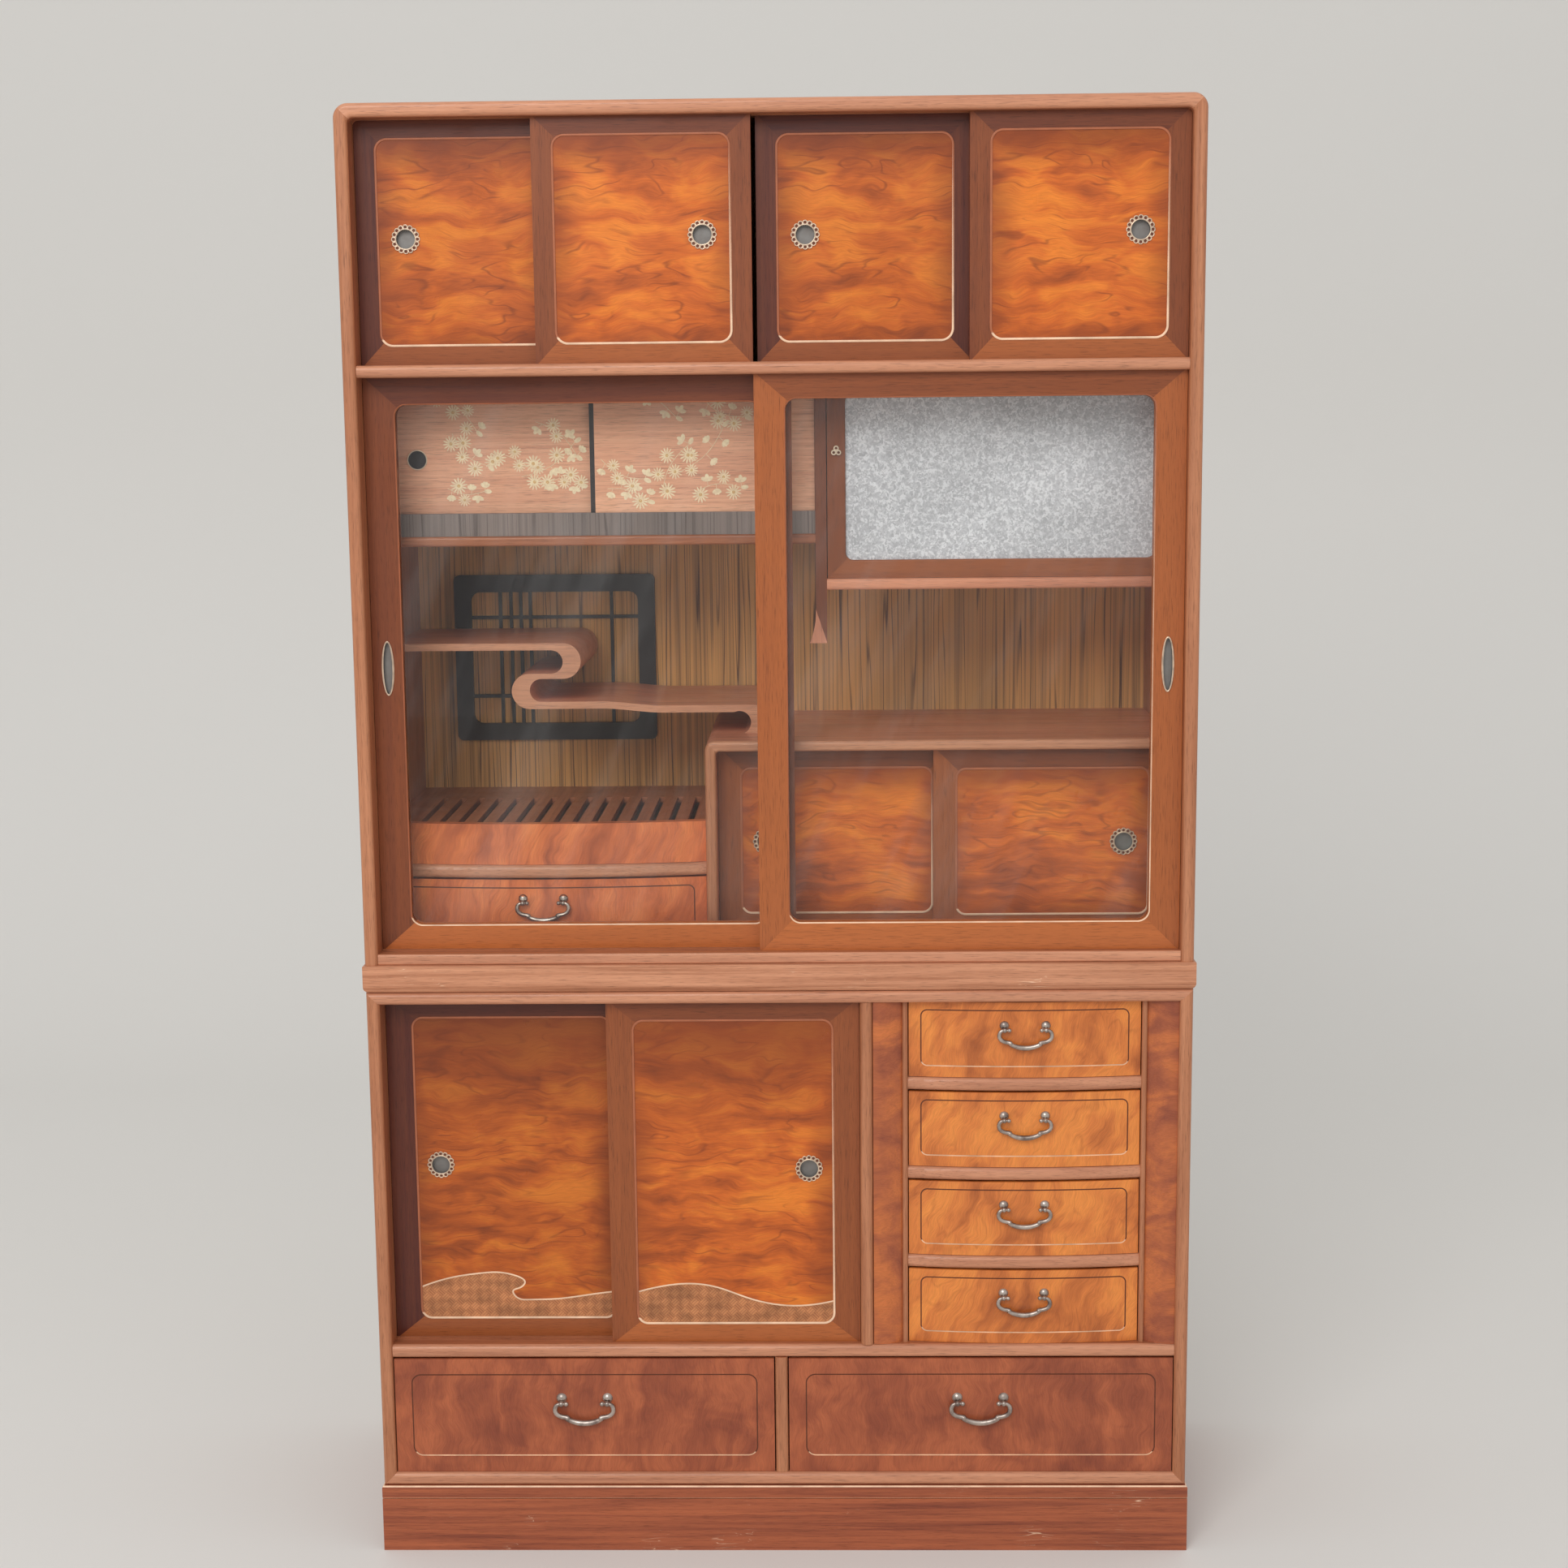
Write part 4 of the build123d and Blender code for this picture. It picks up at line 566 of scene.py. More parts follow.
class Palette:
    """The cabinet's materials, made from the settings when they are first asked for."""

    def __init__(self, context):
        self.woods = context.scene.mizuya_woods
        self.fittings = context.scene.mizuya_fittings
        self.gloss = self.woods.gloss

    def tones(self, family, *tones):
        """A family's colours in the settings."""
        return [getattr(self.woods, f"{family}_{tone}") for tone in tones]

    def straight(self, family, along, dull=0.0, **more):
        """A family's straight-grained wood, rougher than the lacquer by a given amount."""
        name = f"{family}_wood_{'xyz'[along]}"
        tones = self.tones(family, "light", "dark")
        return straight_wood(name, along, *tones, self.gloss + dull, **more)

    def case(self, along):
        return self.straight("case", along, 0.08)

    # Painted highlight: edge wood is the case wood painted lighter, and lighter still on level
    # edges.
    def edge(self, along):
        return self.straight("rail" if along == ALONG_X else "edge", along, 0.06, seed=3.0)

    def counter(self, along):
        return self.straight("counter", along, 0.04, seed=12.0)

    def plain(self, along):
        return self.straight("plain", along, 0.25, coat=0.0, pores=0.8, seed=15.0)

    def member(self, along, light):
        """The wood of a door's rail or stile, from 0 for the darkest to 1 for the lightest."""
        ends = self.tones("frame", "dark", "light")
        tones = [between(*ends, light + shift) for shift in (0.09, -0.09)]
        name = f"member_wood_{'xyz'[along]}_{round(light * 100)}"
        return straight_wood(name, along, *tones, self.gloss, across=7, coat=0.12, seed=5.0)

    def figured(self, name, family, along, level=1.0, **more):
        """Figured veneer in a family's three tones, darkened by the level."""
        tones = self.tones(family, "dark", "middle", "light")
        tones = [[level * value for value in tone] for tone in tones]
        return figured_wood(name, along, tones, self.gloss, **more)

    def striped(self, family):
        tones = self.tones(family, "light", "dark")
        return striped_wood(f"{family}_veneer", *tones, self.gloss + 0.12)

    def woven(self):
        return woven_wood("woven_wood", *self.tones("weave", "light", "dark"), self.gloss + 0.05)

    # Pale inlay wood, used also as painted highlight.
    def inlay(self):
        return inlaid("inlay_wood", self.woods.inlay, self.gloss)

    def dim_inlay(self):
        return inlaid("dim_inlay_wood", self.woods.inlay_dim, self.gloss)

    def shadow(self):
        return inlaid("shaded_inlay", self.woods.shadow_line, self.gloss + 0.15)

    def lacquer(self):
        return lacquered("black_lacquer", self.woods.lacquer, self.gloss)

    def metal(self, name, bright, tarnished, roughness, metallic):
        """Worn metal whose dull tone goes part of the way to the bails' tarnish."""
        dull = between(bright, self.fittings.bail_dull, tarnished)
        return aged_metal(name, bright, dull, roughness, metallic)

    def bail(self):
        return self.metal("bail_metal_aged", self.fittings.bail_bright, 1.0, 0.3, 1.0)

    def rim(self):
        return self.metal("pull_rim_metal", self.fittings.rim_bright, 0.5, 0.3, 0.7)

    def dish(self):
        return self.metal("pull_dish_metal", self.fittings.dish_grey, 0.3, 0.45, 0.45)


# New pieces

class Shape:
    """Points and faces that are gathered into one mesh."""

    def __init__(self):
        self.points, self.faces, self.finishes, self.count = [], [], [], 0

    def add(self, points, faces, finish=0):
        """Add a closed surface, turned so that its faces point outwards."""
        points = np.asarray(points, float)
        middle = points.mean(0)
        volume = 0.0
        for loop in faces:
            for second in range(1, loop.shape[1] - 1):
                a, b, c = (points[loop[:, corner]] - middle for corner in (0, second, second + 1))
                volume += np.einsum("ij,ij->i", a, np.cross(b, c)).sum()
        for loop in faces:
            loop = loop if volume > 0 else loop[:, ::-1]
            self.faces += (loop + self.count).tolist()
            self.finishes += [finish] * len(loop)
        self.points.append(points)
        self.count += len(points)

    def piece(self, name, body, slot, *materials, smooth=True):
        """Make the mesh an object that rides on a body."""
        mesh = bpy.data.meshes.new(name)
        mesh.from_pydata((np.concatenate(self.points) * MM).tolist(), [], self.faces)
        for material in materials:
            mesh.materials.append(material)
        mesh.polygons.foreach_set("material_index", np.array(self.finishes, np.int32))
        mesh.polygons.foreach_set("use_smooth", np.full(len(self.faces), smooth))
        mesh.update()
        made_object = bpy.data.objects.new(name, mesh)
        bpy.context.scene.collection.objects.link(made_object)
        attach(made_object, body)
        return made_object


def strip_faces(rows, columns, round_rows, round_columns):
    """Four-sided faces between neighbouring points of a grid, closed in either way."""
    row = np.arange(rows if round_rows else rows - 1)[:, None]
    column = np.arange(columns if round_columns else columns - 1)[None]
    next_row, next_column = (row + 1) % rows, (column + 1) % columns
    loops = [row * columns + column, row * columns + next_column,
             next_row * columns + next_column, next_row * columns + column]
    return np.stack(np.broadcast_arrays(*loops), -1).reshape(-1, 4)


def bar(centres, radii, sides, looped=False):
    """A round bar along a line in an upright plane: at each place of the line a circle, of the
    place's radius, about it; the circle lies across the line. Open ends close in a point."""
    centres, radii = np.asarray(centres, float), np.asarray(radii, float)
    if looped:
        run = np.roll(centres, -1, 0) - np.roll(centres, 1, 0)
    else:
        run = np.gradient(centres, axis=0)
    run /= np.linalg.norm(run, axis=1, keepdims=True)
    across = np.stack([-run[:, 2], 0 * run[:, 0], run[:, 0]], 1)
    turn = around(sides)
    cosine, sine = np.cos(turn)[:, None], np.sin(turn)[:, None]
    ring = cosine * across[:, None] + sine * np.array((0, 1, 0))
    points = (centres[:, None] + radii[:, None, None] * ring).reshape(-1, 3)
    faces = [strip_faces(len(centres), sides, looped, True)]
    if not looped:
        step = np.arange(sides)
        after = (step + 1) % sides
        last = (len(centres) - 1) * sides
        faces += [np.stack([np.full(sides, len(points)), after, step], 1),
                  np.stack([np.full(sides, len(points) + 1), last + step, last + after], 1)]
        points = np.concatenate([points, centres[[0, -1]]])
    return points, faces


def smooth_run(stations, count):
    """A smooth run through stations, each a row of numbers: between two stations the row is
    the cubic that keeps half the step between their neighbours as its slope at each."""
    rows = np.array(stations, float)
    rows = np.concatenate([2 * rows[:1] - rows[1:2], rows, 2 * rows[-1:] - rows[-2:-1]])
    place = np.linspace(0, len(stations) - 1, count)
    first = np.minimum(place.astype(int), len(stations) - 2)
    part = (place - first)[:, None]
    before, start, end, after = (rows[first + shift] for shift in range(4))
    cubic = 3 * start - before - 3 * end + after
    rise = 2 * before - 5 * start + 4 * end - after
    return 0.5 * (2 * start + (end - before) * part + rise * part ** 2 + cubic * part ** 3)


def bail_half(ball, thick, grip):
    """One half of a bail's line with its radii: a ball, a pin through the post's eye, a round
    curl out, down and back in, a sharp shoulder, and half of the sagging grip."""
    turn = np.radians(np.linspace(4, 144, 11))
    knob = np.stack([23.65 - ball * np.cos(turn), 0 * turn, ball * np.sin(turn)], 1)
    curl = smooth_run([(27.4, 0.0, 1.9), (30.3, 0.0, 1.9), (33.2, -0.2, 0.75 * thick),
                       (36.8, -2.4, 0.92 * thick), (38.5, -7.4, thick), (37.3, -12.6, thick),
                       (33.2, -16.2, 0.98 * thick), (28.4, -17.8, 0.98 * thick),
                       (24.4, -18.5, 1.05 * thick), (22.6, -19.3, 1.27 * thick)], 38)
    hold = smooth_run([(21.4, -20.8, 1.18 * thick), (20.2, -21.9, 1.06 * thick),
                       (17.0, -23.4, 0.88 * grip), (11.0, -25.3, 0.95 * grip),
                       (5.0, -26.3, grip), (0.0, -26.6, grip)], 20)
    whole = np.concatenate([knob, curl, hold])
    return whole[:, :2], whole[:, 2]


def make_bail(node, size, settings, material):
    """Carry a bail's section along its line: one half as drawn, the other as its mirror."""
    half, radii = bail_half(settings.ball / MM, settings.bar / MM, settings.grip / MM)
    line = np.concatenate([half, half[-2::-1] * (-1, 1)])
    radii = np.concatenate([radii, radii[-2::-1]])
    low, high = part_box(node)
    pivot = np.array([(low.x + high.x) / 2, (low.y + high.y) / 2, high.z]) / MM
    pivot[2] -= size * settings.ball / MM
    centres = pivot + size * np.stack([line[:, 0], 0 * line[:, 0], line[:, 1]], 1)
    shape = Shape()
    shape.add(*bar(centres, size * radii, 20))
    made_object = shape.piece(node.replace("bail", "handle"), node, "bail_metal", material)
    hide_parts(node)


def around(count):
    """Evenly spaced angles of a whole turn."""
    return np.linspace(0, 2 * np.pi, count, endpoint=False)


def ring_points(place, turn, width, height):
    """Points round a place, at given angles and reaches along x and z."""
    return place + np.stack([width * np.cos(turn), 0 * turn, height * np.sin(turn)], 1)


def world_place(x, depth, z):
    """A place as x, y and z in millimetres from x, depth and z."""
    return np.array((x, FRONT / MM + depth, z))


def hoop(shape, place, turn, width, height, wire, sides):
    """A closed wire round a place, with given reaches at given angles."""
    shape.add(*bar(ring_points(place, turn, width, height), np.full(len(turn), wire), sides, True))


def petal_outline(count, circle, petal):
    """The outline of a ring of overlapping discs: from the middle the outline lies at
    c cos a + sqrt(p2 - c2 sin2 a), where a is the angle to the nearest disc's middle."""
    turn = around(count * 12)
    step = 2 * np.pi / count
    nearest = (turn + step / 2) % step - step / 2
    reach = circle * np.cos(nearest) + np.sqrt(petal ** 2 - (circle * np.sin(nearest)) ** 2)
    return turn, reach


def scalloped_trim(shape, x, front, z, wire):
    """The wire round a pull's petals, a small loop in each petal and the rolled rim."""
    petals, circle, petal = 16, 14.7, 3.3
    flange = world_place(x, front + 0.6, z)
    turn, reach = petal_outline(petals, circle, petal)
    hoop(shape, flange, turn, reach - wire, reach - wire, wire, 8)
    for angle in around(petals):
        middle = flange + (circle + 0.2) * np.array((np.cos(angle), 0, np.sin(angle)))
        hoop(shape, middle, around(14), 2.15, 2.15, 0.26, 6)
    hoop(shape, world_place(x, front + 0.1, z), around(64), 12.4, 12.4, 0.75, 10)


def medallion(shape, place, turn, reach, height, finish=0):
    """A thin domed plate on a door's face: an outline of reaches at angles, a raised middle in
    front and one just inside the wood."""
    points = np.concatenate([ring_points(place - (0, 0.06, 0), turn, reach, reach),
                             [place - (0, height, 0)], [place + (0, 0.05, 0)]])
    count = len(turn)
    step = np.arange(count)
    after = (step + 1) % count
    shape.add(points, [np.stack([np.full(count, count), step, after], 1),
                       np.stack([np.full(count, count + 1), after, step], 1)], finish)


def many_petalled(shape, place, radius, petals, tilt):
    """A flower: its reach falls between the petals as the root of a cosine's size."""
    turn = around(petals * 6)
    reach = radius * (0.24 + 0.76 * np.abs(np.cos(petals * (turn + tilt) / 2)) ** 1.2)
    medallion(shape, place, turn, reach, 0.16)
    medallion(shape, place - (0, 0.1, 0), around(10), np.full(10, 0.2 * radius), 0.12, 1)


def leaf(shape, place, radius, angle):
    """A bud or leaf: an oval that points one way."""
    turn = around(12)
    reach = radius / np.sqrt(np.cos(turn - angle) ** 2 + 3.2 * np.sin(turn - angle) ** 2)
    middle = place + 0.8 * radius * np.array((np.cos(angle), 0, np.sin(angle)))
    medallion(shape, middle, turn, reach, 0.12)


def sprig(shape, place, start, end, bend, flower, draw):
    """A bent stem with flowers, half-open flowers and leaves along it: the stem is a straight
    run pushed aside by a half wave."""
    count, petals = 18, 13
    part = np.linspace(0, 1, count)[:, None]
    start, end = np.array(start, float), np.array(end, float)
    run = end - start
    aside = np.array((-run[1], run[0])) / np.hypot(*run)
    line = start + part * run + bend * np.sin(np.pi * part) * aside
    centres = place + np.stack([line[:, 0], 0 * part[:, 0] - 0.02, line[:, 1]], 1)
    shape.add(*bar(centres, np.full(count, 0.42), 6))
    for step in range(2, count, 3):
        way = 1 if step % 2 else -1
        offset = way * draw.uniform(4, 11)
        spot = centres[step] + offset * np.array((aside[0], 0, aside[1]))
        shape.add(*bar(np.linspace(centres[step], spot, 5), np.full(5, 0.3), 6))
        angle = np.arctan2(way * aside[1], way * aside[0])
        kind = draw.uniform()
        if kind < 0.5:
            many_petalled(shape, spot, flower * draw.uniform(0.75, 1.0), petals, draw.uniform(0, 1))
            continue
        size, turns = (0.36, (-0.9, -0.3, 0.3, 0.9)) if kind < 0.7 else (0.42, (-1.1, 0.0, 1.1))
        for turn in turns:
            leaf(shape, spot, size * flower, angle + turn)
    leaf(shape, centres[-1], 0.45 * flower, np.arctan2(run[1], run[0]))


# Dressing the nodes

def coat_boards(palette, along, *names, body=None, edge=None, reach=7.0):
    """Boards whose front edges, down to a reach in depth, take a second wood: case wood, with
    edge wood where no others are given. Edge wood is the case wood painted lighter, as painted
    highlight on the rounded edges."""
    body, edge = body or palette.case(along), edge or palette.edge(along)
    for name in names:
        faces = Faces(name)
        faces.coat(body, (edge, faces.front_edges(reach)))


def member_coats(faces, low, high, stiles, rails, palette, lights):
    """The wood of a mitred frame's stiles, then coats of its rails: there a face lies nearer, in
    shares of the members' widths, to the lower or upper edge than to a side. The lightnesses
    are those of the stiles, the upper rail and the lower rail; they are partly the wood's own
    tone and partly painted light, with the lower rails set lightest."""
    side = np.minimum((faces.x - low[0]) / stiles[0], (high[0] - faces.x) / stiles[1])
    level = np.minimum((faces.z - low[2]) / rails[0], (high[2] - faces.z) / rails[1])
    rail, lower = level < side, faces.z < (low[2] + high[2]) / 2
    return (palette.member(ALONG_Z, lights[0]), (palette.member(ALONG_X, lights[1]), rail),
            (palette.member(ALONG_X, lights[2]), rail & lower))


def pull_coats(faces, x, z, palette, front):
    """Coats of a round flush pull: rim and flange, dish, and painted shade in the hollows of the
    petals.
    """
    flange_radius, flange_width, dish_radius, rim_radius, hollow_width = 19.0, 40.0, 11.9, 12.4, 4.4
    metal = faces.near(x, z, flange_radius, flange_width)
    away = np.hypot(faces.x - x, faces.z - z)
    dish = metal & (away < dish_radius) & (faces.high[:, 1] > front + 2.5)
    shaded_hollow = metal & (faces.size[:, 0] < hollow_width) & (away > rim_radius)
    shaded_hollow &= (faces.low[:, 1] > front - 0.6) & (faces.facing[:, 1] < -0.9)
    return metal, [(palette.rim(), metal), (palette.dish(), dish), (palette.shadow(), shaded_hollow)]


def line_coats(faces, line, low, high, palette):
    """Coats of a bead or an inlaid line: dim, but painted pale, as a painted highlight where it
    catches the light, along its foot and up the lower part of its right side."""
    foot_height, side_width = 9, 5
    foot = line & (faces.z < low[2] + foot_height)
    side = line & (faces.x > high[0] - side_width) & (faces.z < (low[2] + high[2]) / 2)
    return [(palette.dim_inlay(), line), (palette.inlay(), foot | side)]


def from_outer_edge(low, high, inwards, left):
    """The x that lies a distance inwards from a door's left or right edge."""
    return low[0] + inwards if left else high[0] - inwards


DoorSizes = namedtuple("DoorSizes", "stile lower_rail upper_rail pull_inwards pull_height")
TOP_DOOR = DoorSizes(24.5, 25.7, 24.0, 60.4, 1708.0)
SMALL_DOOR = DoorSizes(28.5, 30.2, 28.0, 62.5, 935.0)
LOWER_DOOR = DoorSizes(33.0, 26.7, 27.5, 66.0, 519.5)


def dress_panel_door(palette, name, sizes, left, lights, woven=None, **figure):
    """A sliding door with its pull near its left or right edge: stiles and rails with their own
    grain and lightness, a bead, a burl panel and a scalloped pull. The panel is woven below a
    given height."""
    proud, slack, shore_height = 1.6, 0.1, 15
    faces = Faces(name)
    low, high = span(name)
    front = low[1] + proud
    inner_low = low + (sizes.stile, 0, sizes.lower_rail)
    inner_high = high - (sizes.stile, 0, sizes.upper_rail)
    middle, half = (inner_low + inner_high) / 2, (inner_high - inner_low) / 2
    panel = palette.figured(f"burl_{name}", "flame", ALONG_X, half=half[[0, 2]],
                            centre=world_place(middle[0], low[1], middle[2]), **figure)
    members = member_coats(faces, low, high, (sizes.stile, sizes.stile),
                           (sizes.lower_rail, sizes.upper_rail), palette, lights)
    inside = (faces.low[:, 0] > inner_low[0] - slack) & (faces.high[:, 0] < inner_high[0] + slack)
    inside &= (faces.low[:, 2] > inner_low[2] - slack) & (faces.high[:, 2] < inner_high[2] + slack)
    pull = from_outer_edge(low, high, sizes.pull_inwards, left), sizes.pull_height
    metal, coats = pull_coats(faces, *pull, palette, front)
    bead = (faces.low[:, 1] < front - 0.05) & inside & ~metal
    field = (faces.low[:, 1] > front + 0.2) & inside
    layers = [(panel, field), *line_coats(faces, bead, inner_low, inner_high, palette)]
    if woven is not None:
        line = field & (faces.high[:, 2] < woven) & (faces.low[:, 2] > inner_low[2] + shore_height)
        shore = field & (faces.high[:, 2] < woven) & ~line
        layers += [(palette.woven(), shore), (palette.inlay(), line)]
    faces.coat(*members, *layers, *coats)
    shape = Shape()
    scalloped_trim(shape, pull[0], low[1], pull[1], palette.fittings.wire / MM)
    shape.piece(name.replace("door", "pull"), name, "bail_metal", palette.rim())


SMALL_BAIL, LARGE_BAIL = 0.875, 1.0


def dress_drawer(palette, name, post, size, depth, bow, front_wood, foot=14.0):
    """A drawer: figured front, an inlaid line whose groove is painted dark as painted shade, with a
    painted highlight along its foot, metal posts and a plain box. The post is the x and the
    height between the bail's posts; depth and bow are how far back the front's middle lies,
    and how much farther its ends do."""
    board, post_spacing, post_drop, post_reach, post_width = 18, 30.3, 3, 11.5, 17.0
    faces = Faces(name)
    back = depth + bow + board
    front = faces.high[:, 1] < back + 0.1
    posts = np.zeros(len(faces.x), bool)
    for way in (-1, 1):
        posts |= faces.near(post[0] + way * post_spacing * size, post[1] - post_drop,
                            post_reach * size, post_width)
    posts &= faces.low[:, 1] < depth + bow
    shaded_groove = front & ~posts & (faces.high[:, 1] < back - 2)
    shaded_groove &= (faces.facing[:, 1] > -0.7) | (faces.low[:, 1] > depth + 0.6)
    # Painted highlight along the groove's lower run; the rest of the groove is painted shade.
    lit = shaded_groove & (faces.z < span(name)[0][2] + foot + 5)
    faces.coat(palette.plain(ALONG_Y), (front_wood, front), (palette.shadow(), shaded_groove),
               (palette.inlay(), lit), (palette.bail(), posts))


class MIZUYA_OT_upper_case(Operator):
    """Give the upper case its boards, shelf, sill and striped back"""
    bl_idname = "mizuya.upper_case"
    bl_label = "Upper Case"

    def execute(self, context):
        palette = Palette(context)
        coat_boards(palette, ALONG_X, "upper_top_board", "upper_shelf")
        coat_boards(palette, ALONG_X, "upper_bottom_board", reach=3.0)
        coat_boards(palette, ALONG_Z, "upper_side_left", "upper_side_right")
        faces = Faces("upper_back_panel")
        faces.coat(palette.plain(ALONG_Z), (palette.striped("stripe"), faces.facing[:, 1] < -0.5))
        return {"FINISHED"}


class MIZUYA_OT_top_doors(Operator):
    """Give the four small sliding doors their frames, burl panels, beads and pulls"""
    bl_idname = "mizuya.top_doors"
    bl_label = "Top Doors"

    def execute(self, context):
        palette = Palette(context)
        for number in range(1, 5):
            rear = number % 2 == 1
            # Rear doors get darker frames and burl than the front ones: painted shade.
            lights, level = ((0.05, 0.05, 0.4), 0.86) if rear else ((0.24, 0.14, 0.5), 0.97)
            dress_panel_door(palette, f"top_door_{number}", TOP_DOOR, rear, lights,
                             seed=2.0 + 0.07 * number, level=level)
        return {"FINISHED"}


class MIZUYA_OT_glass_doors(Operator):
    """Give the two large glass doors their frames, panes and oval pulls"""
    bl_idname = "mizuya.glass_doors"
    bl_label = "Glass Doors"

    def execute(self, context):
        palette = Palette(context)
        glass = clear_glass("pane_glass", palette.fittings.glass)
        stile, pull_height, pull_half_sizes = 39, 1175.0, (9, 36)
        for side in ("left", "right"):
            left = side == "left"
            name = f"{side}_glass_door"
            faces = Faces(name)
            low, high = span(name)
            rails = (34.2, 36.5) if left else (39.2, 33.5)
            lights = (0.2, 0.1, 0.7) if left else (0.52, 0.28, 0.68)
            members = member_coats(faces, low, high, (stile, stile), rails, palette, lights)
            pull = from_outer_edge(low, high, stile / 2, left)
            slim = (faces.size[:, 0] < 17) & (faces.size[:, 2] < 71)
            metal = slim & (np.hypot((faces.x - pull) / pull_half_sizes[0],
                                     (faces.z - pull_height) / pull_half_sizes[1]) < 1)
            dish = metal & (faces.high[:, 1] > low[1] + 4)
            slant = faces.facing[:, 1]
            # The bevel round the pane is painted lighter than the frame, as painted highlight, and
            # paler still along its foot and right side.
            bevel = (slant > -0.97) & (slant < -0.03) & (faces.size[:, 1] < 2.5) & ~metal
            lines = line_coats(faces, bevel, low + (stile, 0, rails[0]),
                               high - (stile, 0, rails[1]), palette)
            faces.coat(*members, *lines, (palette.rim(), metal), (palette.dish(), dish))
            Faces(f"{side}_glass_pane").coat(glass)
            shape = Shape()
            place = world_place(pull, low[1] + 0.05, pull_height)
            hoop(shape, place, around(96), 7.1, 34.1, 0.75, 10)
            shape.piece(f"{side}_oval_pull", name, "bail_metal", palette.rim())
        return {"FINISHED"}


class MIZUYA_OT_cupboards(Operator):
    """Give the inner cupboards their shelves, post, striped sill and frosted door"""
    bl_idname = "mizuya.cupboards"
    bl_label = "Inner Cupboards"

    def execute(self, context):
        palette = Palette(context)
        sill_back, sill_foot, curl_top, knob_place = 138, 1337.9, 1262, (78.75, 1443.0)
        shelf = Faces("left_cupboard_shelf")
        sill = (shelf.high[:, 1] < sill_back) & (shelf.low[:, 2] > sill_foot)
        shelf.coat(palette.case(ALONG_X), (palette.striped("sill"), sill))
        coat_boards(palette, ALONG_X, "right_cupboard_shelf", edge=palette.counter(ALONG_X))
        post = Faces("hanging_post")
        post.coat(palette.member(ALONG_Z, 0.2), (palette.counter(ALONG_Z), post.z < curl_top))
        door = Faces("frosted_door")
        members = member_coats(door, *span("frosted_door"), (23.5, 25.5), (23.2, 24.7), palette,
                               (0.28, 0.4, 0.4))
        knob = door.near(*knob_place, 9.0, 16.0) & (door.low[:, 1] < 103)
        door.coat(*members, (palette.rim(), knob))
        Faces("frosted_pane").coat(frosted_glass("frosted_pane_glass", palette.fittings.frost))
        return {"FINISHED"}


# Stems on the blossom doors: each has its start and end, as x and z from the door's lower left
# corner, and how far it bends aside.
SPRIGS = {
    "left": [((74, 152), (130, 104), 8), ((98, 102), (144, 60), -9), ((90, 32), (138, 28), -6),
             ((150, 78), (216, 34), 9), ((186, 46), (256, 90), -9), ((206, 116), (258, 72), 8),
             ((222, 40), (262, 34), 6)],
    "right": [((40, 160), (112, 120), 8), ((14, 68), (70, 42), -8), ((22, 30), (74, 14), 6),
              ((92, 20), (128, 86), 9), ((118, 52), (172, 108), -8), ((134, 24), (194, 30), 8),
              ((148, 142), (200, 120), -8)],
}


class MIZUYA_OT_blossom_doors(Operator):
    """Give the two thin doors their wood, dark edges, pulls and painted flowers"""
    bl_idname = "mizuya.blossom_doors"
    bl_label = "Blossom Doors"

    def execute(self, context):
        palette = Palette(context)
        fittings = palette.fittings
        ground = palette.straight("blossom", ALONG_X, 0.1, across=4, seed=21.0)
        paints = (painted("flower_paint", fittings.flower, 0.45),
                  painted("flower_eye_paint", fittings.flower_eye, 0.5))
        draw = np.random.default_rng(20)
        for side in ("left", "right"):
            left = side == "left"
            name = f"{side}_blossom_door"
            faces = Faces(name)
            low, high = span(name)
            pull = from_outer_edge(low, high, 52.0, left), 1436.0
            front = low[1] + 1.4
            metal = faces.near(*pull, 14.0, 30.0)
            dish = metal & (faces.high[:, 1] > front + 2)
            strip = faces.low[:, 0] > high[0] - 6.1 if left else faces.high[:, 0] < low[0] + 6.1
            faces.coat(ground, (palette.lacquer(), strip), (palette.rim(), metal),
                       (palette.lacquer(), dish))
            shape = Shape()
            for start, end, bend in SPRIGS[side]:
                sprig(shape, world_place(low[0], front, low[2] + 3), start, end, bend,
                      fittings.flower_size / MM, draw)
            shape.piece(f"{side}_flower_spray", name, "pale_wood", *paints, smooth=False)
            shape = Shape()
            hoop(shape, world_place(pull[0], front - 1.2, pull[1]), around(64), 12.3, 12.3, 0.6, 10)
            shape.piece(f"{side}_blossom_pull", name, "bail_metal", palette.rim())
        return {"FINISHED"}


class MIZUYA_OT_counter(Operator):
    """Give the counter its wood and the two small doors under it their panels and pulls"""
    bl_idname = "mizuya.counter"
    bl_label = "Counter"

    def execute(self, context):
        palette = Palette(context)
        for along, name in ((ALONG_X, "counter_board"), (ALONG_Z, "counter_side")):
            coat_boards(palette, along, name, body=palette.counter(along), reach=5.5)
        for side, seed in (("left", 6.1), ("right", 5.9)):
            dress_panel_door(palette, f"{side}_small_door", SMALL_DOOR, side == "left",
                             (0.4, 0.22, 0.45), seed=seed, level=1.05, lines=0.4)
        return {"FINISHED"}


